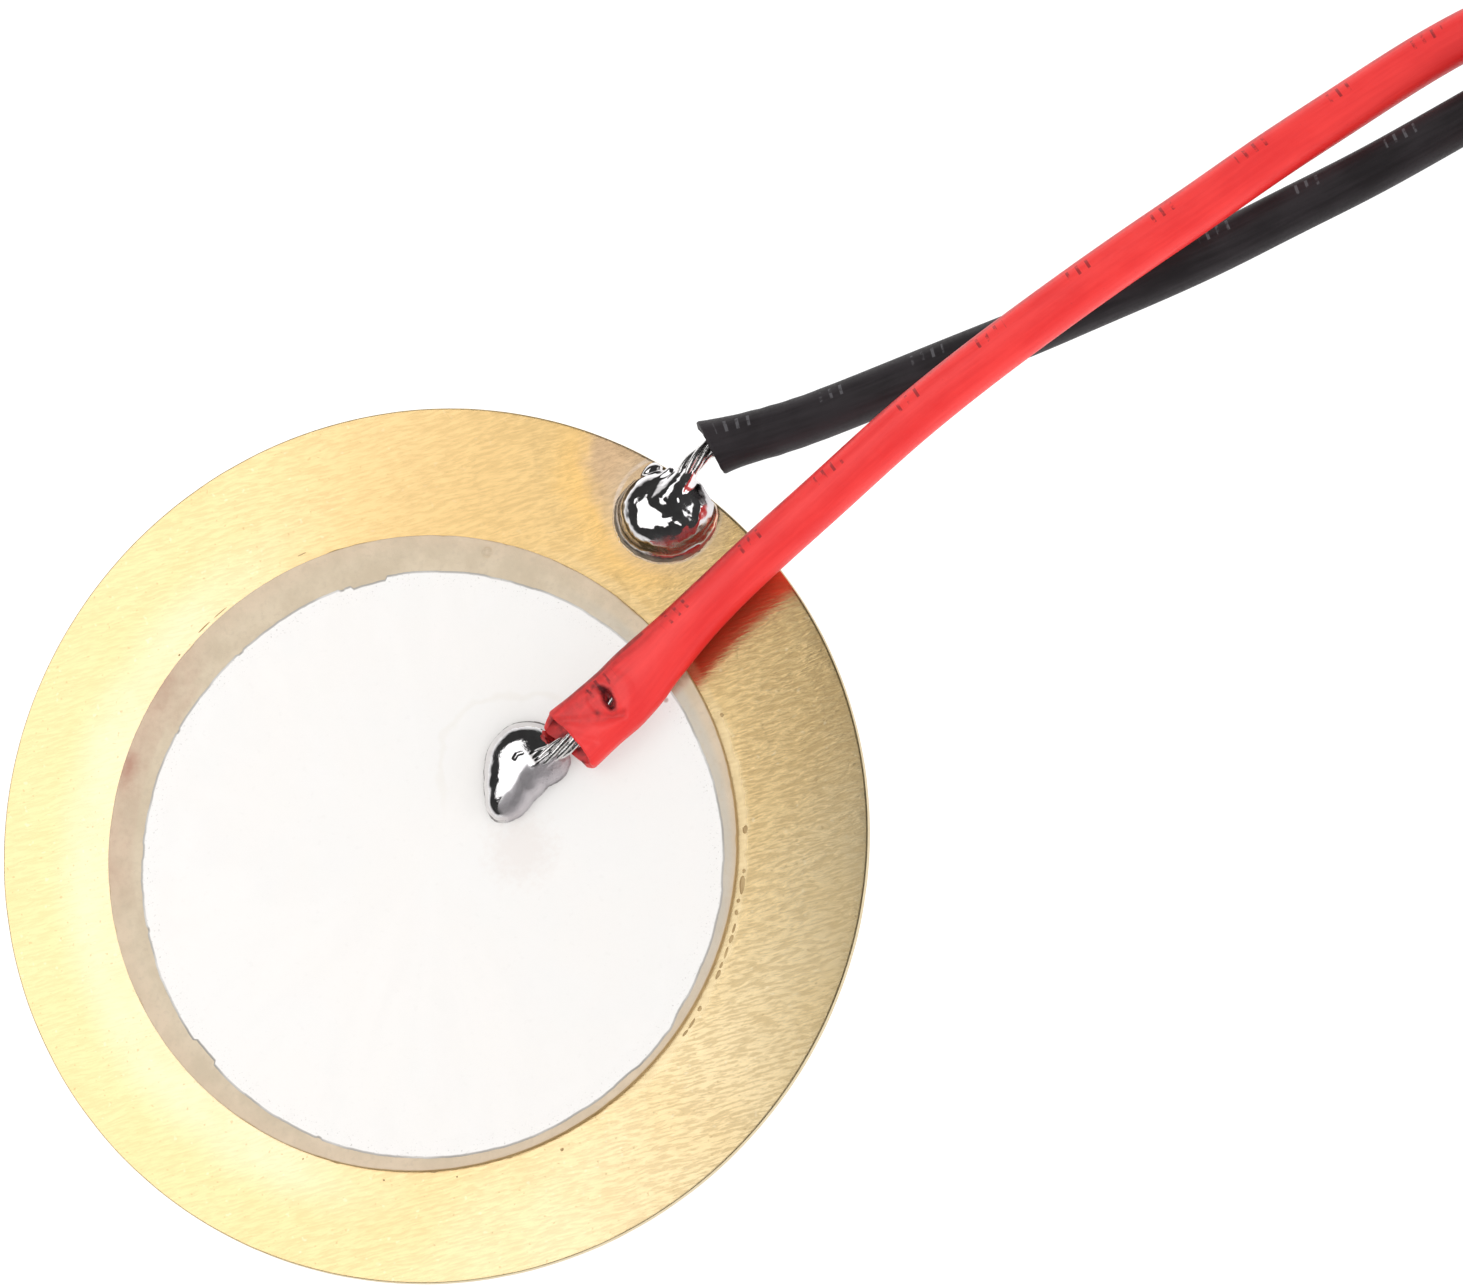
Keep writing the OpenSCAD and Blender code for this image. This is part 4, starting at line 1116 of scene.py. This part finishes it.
def film():
    cols = 1440
    a = np.arange(cols) / cols * 2 * math.pi
    deg = np.degrees(a)
    R = FILM_R - 0.035 + 0.014 * ring_noise(a, FILM_R, 0.7, 31, 2) + 0.012 * ring_noise(a, FILM_R, 3.5, 32, 3)
    # steps of the printed mesh along the edge
    R += 0.010 * np.sign(ring_noise(a, FILM_R, 1.8, 33, 1)) * sstep(0.1, 0.25, np.abs(ring_noise(a, FILM_R, 1.8, 33, 1)))

    def dip(t0, t1, depth, soft=0.25):
        t = (deg - t0 + 180) % 360 - 180
        w = (t1 - t0) % 360
        return depth * sstep(-soft, soft, t) * (1 - sstep(w - soft, w + soft, t))

    R -= dip(65, 72, 0.11) + dip(181, 187, 0.095) + dip(96.8, 98.2, 0.04) + dip(116.5, 117.6, 0.035)
    R -= dip(73.6, 74.6, 0.04) + dip(156.4, 157.6, 0.035) + dip(212.6, 213.6, 0.04) + dip(140, 143, 0.02)
    R += dip(281, 292, 0.06, 1.5)
    for at, width, out in ((314, 13, 0.075), (285, 9, 0.03), (336, 10, 0.04), (122, 7, 0.05), (140, 12, 0.02),
                           (38, 10, -0.04), (64, 6, 0.04), (100, 14, -0.02)):
        R += bump_at(a, at, width, out)
    # shrink inside the ceramic
    inset = [0.0, 0.004, 0.012, 0.03, 0.055, 0.09, 0.14, 0.2, 0.28, 0.36, 0.44, 0.52, 0.6, 0.7, 0.85, 1.05, 1.4, 2.0, 3.0, 4.5, 6.0, 7.6, 8.7]
    z_in = [CER_TOP - 0.004, CER_TOP + 0.004, CER_TOP + 0.0075, CER_TOP + 0.0095] + [FILM_TOP] * (len(inset) - 4)
    rows_r = [R - d if d < 2 else (R * 0 + FILM_R - d) for d in inset]
    r = np.stack(rows_r)
    z = np.repeat(np.array(z_in)[:, None], cols, 1)
    A = np.repeat(a[None, :], len(inset), 0)
    V = np.stack([FILM_C[0] + r * np.cos(A), FILM_C[1] + r * np.sin(A), z], -1).reshape(-1, 3)
    edge = np.repeat(np.array(inset)[:, None], cols, 1).ravel()
    # painted edge shade: strongest round the side facing -Y, at two stretches and at the notches, and about half
    # strength or more all round
    th = A.ravel()
    edge_shade = sstep(-0.35, 0.2, np.cos(th - math.radians(262))) * (0.75 + 0.45 * ring_noise(th, FILM_R, 1.1, 36, 2))
    edge_shade = np.maximum(edge_shade, 0.9 * sstep(62, 64, np.degrees(th)) * (1 - sstep(73, 75, np.degrees(th))))
    edge_shade = np.maximum(edge_shade, 1.0 * sstep(180, 181, np.degrees(th)) * (1 - sstep(187, 188, np.degrees(th))))
    edge_shade = np.maximum(edge_shade, 0.45 + 0.40 * sstep(-0.5, 0.3, ring_noise(th, FILM_R, 0.9, 39, 2)))
    for d0 in (97.5, 117, 74, 157, 213):
        edge_shade = np.maximum(edge_shade, np.exp(-((np.degrees(th) - d0) / 0.8) ** 2))
    ridge = 0.006 * np.exp(-((edge - 0.52) / 0.05) ** 2) * sstep(255, 260, np.degrees(th)) * (1 - sstep(290, 296, np.degrees(th)))
    ridge += 0.005 * np.exp(-((edge - 0.2) / 0.04) ** 2) * sstep(46, 49, np.degrees(th)) * (1 - sstep(55, 58, np.degrees(th)))
    V[:, 2] += ridge
    V[:, 2] += (edge > 0.1) * 0.0015 * fbm(V * [1, 1, 0], 1.4, 3, 38)
    # underside, inside the ceramic's top face
    under = np.stack([FILM_C[0] + (R - 0.02) * np.cos(a), FILM_C[1] + (R - 0.02) * np.sin(a), 0 * a + CER_TOP - 0.006], 1)
    n = len(V)
    V = np.concatenate([V, under, [[FILM_C[0], FILM_C[1], FILM_TOP], [FILM_C[0], FILM_C[1], CER_TOP - 0.006]]])
    edge = np.concatenate([edge, np.full(cols, 0.02), [9, 9]])
    edge_shade = np.concatenate([np.clip(edge_shade, 0, 1), np.zeros(cols), [0, 0]])
    k = len(inset)
    q = ring_quads(k, cols)
    c = np.arange(cols)
    skirt = np.stack([n + c, n + (c + 1) % cols, (c + 1) % cols, c], 1)
    t = np.concatenate([fan(n + cols, (k - 1) * cols, cols), fan(n + cols + 1, n, cols, flip=True)])
    o = make("electrode_film", V, np.concatenate([q, skirt]), t, [SILVER], sharp=50, attrs={"edge": edge, "painted_edge_shade": edge_shade}, slot="silver")
    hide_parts("upper_electrode")


plate()
glue()
ceramic()
film()


def low_silver():
    cols = 360
    a = np.arange(cols) / cols * 2 * math.pi
    lo, hi = [np.array(c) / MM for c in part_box("lower_electrode")]
    R = CER_R - 0.07 + 0.02 * ring_noise(a, CER_R, 0.8, 71, 2)
    rows = [(0 * a + 0.4, lo[2]), (R * 0.5, lo[2]), (R - 0.004, lo[2]), (R, lo[2] + 0.003), (R, hi[2] - 0.003), (R - 0.004, hi[2]), (R * 0.5, hi[2]), (0 * a + 0.4, hi[2])]
    V = np.concatenate([np.stack([CER_C[0] + r * np.cos(a), CER_C[1] + r * np.sin(a), 0 * a + z], 1) for r, z in rows])
    n = len(V)
    V = np.concatenate([V, [[CER_C[0], CER_C[1], lo[2]], [CER_C[0], CER_C[1], hi[2]]]])
    o = make("under_film", V, ring_quads(len(rows), cols), np.concatenate([fan(n, 0, cols, flip=True), fan(n + 1, (len(rows) - 1) * cols, cols)]),
             [SILVER_LOW], sharp=50, slot="silver")
    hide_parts("lower_electrode")


low_silver()

# ------------------------------------------------------------------ solder joints


def ellipsoid(P, c, r):
    q = (P - np.array(c)) / np.array(r)
    k0 = np.linalg.norm(q, axis=1)
    k1 = np.linalg.norm(q / np.array(r), axis=1)
    return k0 * (k0 - 1) / np.maximum(k1, 1e-6)


def capsule(P, a, b, ra, rb):
    a, b = np.array(a, float), np.array(b, float)
    d = b - a
    t = np.clip(((P - a) @ d) / (d @ d), 0, 1)
    return np.linalg.norm(P - a - t[:, None] * d, axis=1) - (ra + (rb - ra) * t)


def pillow(P, c, r, n):
    """A rounded lump, flatter on top and steeper at the side than an ellipsoid."""
    d = P - np.array(c)
    q = np.abs(d) / np.array(r)
    F = (np.hypot(q[:, 0], q[:, 1]) ** n + q[:, 2] ** n) ** (1 / n)
    return np.linalg.norm(d, axis=1) * (F - 1) / np.maximum(F, 0.2)


def rim_bead():
    cx, cy = RIM_C
    z0 = PLATE_TOP

    def f(P):
        x, y, z = P[:, 0], P[:, 1], P[:, 2]
        lu, lv = 0.829 * (x - cx) - 0.559 * (y - cy), 0.559 * (x - cx) + 0.829 * (y - cy)
        T = np.stack([lu, lv, z - z0], 1)
        body = pillow(T, (0.02, -0.08, 0.16), (1.45, 1.26, 0.84), 2.45)
        neck = capsule(P, (cx + 0.22, cy + 0.04, z0 + 0.62), (cx + 1.22, cy + 0.38, z0 + 0.80), 0.58, 0.315)
        body = smin(body, neck, 0.16)
        web = capsule(P, (cx - 0.50, cy + 0.72, z0 + 0.46), (cx + 0.78, cy + 0.74, z0 + 0.74), 0.15, 0.14)
        body = smin(body, web, 0.10)
        bubble = np.minimum(ellipsoid(P, (cx + 0.24, cy + 1.20, z0 + 0.22), (0.40, 0.22, 0.28)),
                            ellipsoid(P, (cx - 0.24, cy + 1.10, z0 + 0.26), (0.17, 0.16, 0.20)))
        body = smin(body, bubble, 0.06)
        body = body + 0.026 * fbm(P, 1.5, 2, 51) + 0.012 * fbm(P, 3.8, 2, 52) + 0.0035 * fbm(P, 8.0, 1, 57)
        # the skin on the open side froze in small creases
        body = body + 0.030 * fbm(P, 3.3, 2, 59) * sstep(0.15, 0.5, lu - 0.2 * lv) * sstep(0.75, 0.35, lv)
        lobe = (0.150 * np.exp(-((lu - 1.13) ** 2 + (lv + 0.12) ** 2) / 0.32 ** 2) + 0.085 * np.exp(-((lu - 1.02) ** 2 + (lv + 0.58) ** 2) / 0.21 ** 2)
                + 0.045 * np.exp(-((lu - 0.62) ** 2 + (lv + 0.66) ** 2) / 0.15 ** 2) + 0.028 * np.exp(-((lu - 0.78) ** 2 + (lv + 0.30) ** 2) / 0.12 ** 2))
        body = body - lobe * sstep(z0 + 0.25, z0 + 0.5, z)
        # the wetted foot is wide over the plate and narrow towards the rim
        wide = np.clip(0.345 - 0.15 * lv - 0.08 * lu + 0.05 * vnoise(P * [1, 1, 0], 0.9, 53), 0.16, 0.70)
        return np.maximum(np.maximum(smin(body, z - z0 + 0.026, wide), (z0 - 0.003) - z),
                          np.where(z < z0 + 0.45, np.hypot(x - PLATE_C[0], y - PLATE_C[1]) - (PLATE_R - 0.03), -1))

    V, Q = surface_nets(f, (cx - 2.0, cy - 1.95, z0 - 0.03), (cx + 1.75, cy + 1.95, z0 + 1.25), 0.0286)
    V = settle(V, f)
    d = np.hypot(V[:, 0] - cx, V[:, 1] - cy)
    # foot marks where the painted brass-gold reflection goes, low at the joint's edge
    foot = (1 - sstep(z0 + 0.02, z0 + 0.16, V[:, 2])) * sstep(1.0, 1.5, d)
    dull = 0.35 * sstep(0.15, 0.5, fbm(V, 1.3, 2, 55)) * sstep(cy + 0.2, cy - 0.3, V[:, 1])
    # duller, oxidised skin on the side away from the iron; this side also faces away from the soft box, and the darker
    # colour given to it through line is painted shade
    lu, lv = 0.829 * (V[:, 0] - cx) - 0.559 * (V[:, 1] - cy), 0.559 * (V[:, 0] - cx) + 0.829 * (V[:, 1] - cy)
    away = sstep(0.3, 0.9, lu - 0.8 * lv + 0.25 * fbm(V, 1.6, 2, 58)) * sstep(z0 + 0.08, z0 + 0.2, V[:, 2]) * sstep(z0 + 0.95, z0 + 0.75, V[:, 2])
    away *= 1 - np.exp(-((lu - 0.95) ** 2 + (lv + 0.25) ** 2) / 0.36 ** 2)
    under = 0.6 * sstep(0.45, 0.7, lu) * sstep(z0 + 0.5, z0 + 0.7, V[:, 2])
    line, soft = 0.30 * away, np.maximum(0.42 * away, 0.25 * under)
    o = make("rim_bead", V, Q, None, [SOLDER], attrs={"dull": dull, "foot": foot, "line": line, "soft": soft}, slot="solder")
    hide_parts("rim_solder_joint")


BEAD_OUTLINE = np.array([[4.9, 1.0], [4.5, 1.4], [4.1, 1.6], [3.6, 1.6], [3.1, 1.45], [2.7, 1.1], [2.4, 0.7], [2.1, 0.2],
                         [1.9, -0.2], [1.95, -0.6], [2.3, -0.85], [2.8, -0.9], [3.3, -0.75], [3.9, -0.65], [4.5, -0.7],
                         [4.9, -0.45], [5.05, 0.3]])


def centre_bead():
    c = BEAD_C
    d = BEAD_OUTLINE - c
    ang = np.arctan2(d[:, 1], d[:, 0])
    rad = np.hypot(d[:, 0], d[:, 1])
    order = np.argsort(ang)
    ang, rad = ang[order], rad[order]
    A = np.concatenate([ang - 2 * math.pi, ang, ang + 2 * math.pi])
    Rr = np.concatenate([rad, rad, rad])
    fine = np.linspace(-math.pi, math.pi, 721)
    base = np.interp(fine, A, Rr)
    k = np.exp(-(np.linspace(-1, 1, 41) / 0.38) ** 2)
    k /= k.sum()
    base = np.convolve(np.concatenate([base[-41:-1], base, base[1:41]]), k, "same")[40:-40]
    z0 = FILM_TOP
    H = BEAD[1][2] - z0

    def f(P):
        x, y, z = P[:, 0] - c[0], P[:, 1] - c[1], P[:, 2]
        th = np.arctan2(y, x)
        R = np.interp(th, fine, base) - 0.05
        rho = np.hypot(x, y) / R
        h = H * (0.86 + 0.16 * sstep(-1.4, 0.9, x))
        zz = (z - (z0 + 0.10)) / (h - 0.10)
        F = np.sqrt(rho ** 2.7 + np.where(zz > 0, zz * zz, 0.35 * zz * zz) + 1e-9)
        g = np.sqrt((rho ** 1.7 / np.maximum(F, 0.2) / R * 1.3) ** 2 + (np.abs(zz) / np.maximum(F, 0.2) / (h - 0.1)) ** 2 + 1e-6)
        body = (F - 1) / np.clip(g, 0.55, 3.0)
        stem = capsule(P, (3.60, 0.18, 0.90), (4.55, -0.02, 1.09), 0.42, 0.29)
        ax = np.array([0.95, -0.20, 0.19]) / np.linalg.norm([0.95, -0.20, 0.19])
        rel = P - np.array([3.60, 0.18, 0.90])
        run = rel @ ax
        off = rel - run[:, None] * ax
        around = np.arctan2(off[:, 2], off @ np.array([0.206, 0.979, 0.0]))
        stem = stem + 0.05 * np.cos(7 * around + 4.2 * run) * sstep(0.35, 0.75, run) * sstep(0.1, 0.6, np.sin(around))
        body = smin(body, stem, 0.13)
        body = body + 0.010 * fbm(P, 1.8, 2, 61)
        lower = sstep(0.05, -0.25, y - 0.32 * x + 0.31)
        body = body + lower * (0.018 * fbm(P, 3.0, 3, 62))
        # a short fold in the skin near the crown
        fold = near_line(P[:, 0], P[:, 1], [(3.60, 0.50), (3.74, 0.56), (3.90, 0.50)])
        body = body + 0.030 * np.exp(-(fold / 0.055) ** 2) * sstep(z0 + 0.4, z0 + 0.55, z)
        return np.maximum(smin(body, z - z0 + 0.012, 0.13), z0 - 0.003 - z)

    V, Q = surface_nets(f, (1.6, -1.25, z0 - 0.03), (5.35, 1.95, z0 + 1.15), 0.028)
    V = settle(V, f)
    x, y = V[:, 0] - c[0], V[:, 1] - c[1]
    side = y - 0.32 * x + 0.31 + 0.12 * fbm(V, 2.0, 2, 64)
    soft = sstep(0.07, -0.07, side) * sstep(-1.35, -1.1, x)
    # the strands stay bright where they run into the joint
    soft *= 1 - sstep(0.25, 0.40, x) * sstep(-0.52, -0.38, y)
    dull = soft * (0.12 + 0.45 * sstep(-0.1, 0.45, x + 0.5 * fbm(V, 1.4, 2, 68)) * sstep(0.1, 0.5, x))
    dull = np.maximum(dull, 0.10 * sstep(0.2, 0.6, fbm(V, 1.6, 2, 65)))
    # painted shade: a dark line round the bead's foot, wider on the upper side, and a dark band between the bright
    # crown and the strands
    top = 0.10 * sstep(-0.1, 0.8, y - 0.5 * x)
    line = (1 - sstep(z0 + 0.020 + top, z0 + 0.085 + top, V[:, 2])) * sstep(-0.6, -0.1, fbm(V, 1.2, 2, 67) + 0.4 * y)
    line = np.maximum(line, 0.85 * np.exp(-((x - 0.60) / 0.075) ** 2) * sstep(-0.50, -0.38, y) * sstep(0.12, 0.0, y))
    o = make("centre_bead", V, Q, None, [SOLDER], attrs={"dull": dull, "foot": 0 * dull, "line": line, "soft": soft}, slot="solder")
    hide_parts("centre_solder_joint")


rim_bead()
centre_bead()

# ------------------------------------------------------------------ stage and light


def stage():
    s = 3000.0
    v = np.array([[-s, -s, -0.012], [s, -s, -0.012], [s, s, -0.012], [-s, s, -0.012]])
    mesh = bpy.data.meshes.new("floor")
    mesh.from_pydata([tuple(p * MM) for p in v], [], [(0, 1, 2, 3)])
    floor = bpy.data.objects.new("floor", mesh)
    bpy.context.scene.collection.objects.link(floor)
    n = Nodes("floor")
    n.bsdf.inputs["Base Color"].default_value = (0.25, 0.25, 0.25, 1)
    n.bsdf.inputs["Roughness"].default_value = 0.9
    n.bsdf.inputs["Specular IOR Level"].default_value = 0.0
    n.bsdf.inputs["Emission Color"].default_value = (1, 1, 1, 1)
    n.bsdf.inputs["Emission Strength"].default_value = 0.97
    floor.data.materials.append(n.mat)

    world = bpy.data.worlds.new("world")
    bpy.context.scene.world = world
    world.use_nodes = True
    t = world.node_tree
    t.nodes.clear()
    out = t.nodes.new("ShaderNodeOutputWorld")
    path = t.nodes.new("ShaderNodeLightPath")
    white, room, fill = (t.nodes.new("ShaderNodeBackground") for _ in range(3))
    white.inputs[0].default_value, white.inputs[1].default_value = (1, 1, 1, 1), 1.0
    room.inputs[0].default_value = (1, 1, 1, 1)
    way = t.nodes.new("ShaderNodeTexCoord")
    split = t.nodes.new("ShaderNodeSeparateXYZ")
    sweep = t.nodes.new("ShaderNodeMapRange")
    sweep.interpolation_type = "SMOOTHSTEP"
    for k, v in (("From Min", 0.10), ("From Max", 0.30), ("To Min", 0.85), ("To Max", 0.035)):
        sweep.inputs[k].default_value = v
    t.links.new(way.outputs["Generated"], split.inputs[0])
    t.links.new(split.outputs[2], sweep.inputs["Value"])
    t.links.new(sweep.outputs[0], room.inputs[1])
    fill.inputs[0].default_value, fill.inputs[1].default_value = (1, 1, 1, 1), 1.05
    m1, m2 = t.nodes.new("ShaderNodeMixShader"), t.nodes.new("ShaderNodeMixShader")
    t.links.new(path.outputs["Is Glossy Ray"], m1.inputs[0])
    t.links.new(fill.outputs[0], m1.inputs[1])
    t.links.new(room.outputs[0], m1.inputs[2])
    t.links.new(path.outputs["Is Camera Ray"], m2.inputs[0])
    t.links.new(m1.outputs[0], m2.inputs[1])
    t.links.new(white.outputs[0], m2.inputs[2])
    t.links.new(m2.outputs[0], out.inputs[0])


def area(name, centre, aim, size, radiance, colour=(1, 1, 1), roll=None, glossy=True, diffuse=True):
    """A soft box. centre and aim are in mm, size in mm, radiance is how bright its face is."""
    data = bpy.data.lights.new(name, "AREA")
    data.shape = "RECTANGLE"
    data.size, data.size_y = size[0] * MM, size[1] * MM
    data.energy = radiance * math.pi * data.size * data.size_y
    data.color = colour
    o = bpy.data.objects.new(name, data)
    bpy.context.scene.collection.objects.link(o)
    z = Vector(np.array(centre, float) - np.array(aim, float)).normalized()
    x = Vector(roll) if roll is not None else Vector((0, 0, 1)).cross(z)
    x = (x - x.dot(z) * z).normalized()
    y = z.cross(x)
    o.matrix_world = Matrix([[x[k], y[k], z[k], centre[k] * MM] for k in range(3)] + [[0, 0, 0, 1]])
    o.visible_camera = False
    o.visible_glossy, o.visible_diffuse = glossy, diffuse
    return o


def lights():
    e = np.array([0.906, -0.4226, 0.0])
    f = np.array([0.4226, 0.906, 0.0])
    H, edge, wide, deep = 95.0, -4.0, 88.0, 98.0
    c = e * (edge - wide / 2) + f * 22.0 + np.array([0, 0, H])
    area("soft_box", c, c - np.array([0, 0, 1.0]), (wide, deep), 1.42, roll=e, diffuse=False)
    c = e * (edge - 67.0) + f * 24.0 + np.array([0, 0, H])
    area("soft_fill", c, c - np.array([0, 0, 1.0]), (135, 125), 0.95, roll=e, glossy=False)
    area("side_box", (0.757 * 300, -0.59 * 300, 0.30 * 300), (5, 0, 0), (150, 110), 2.2)


stage()
lights()
scene = bpy.context.scene
scene.view_settings.view_transform = "Standard"
scene.view_settings.look = "None"
scene.view_settings.exposure = 0.0
scene.view_settings.gamma = 1.0
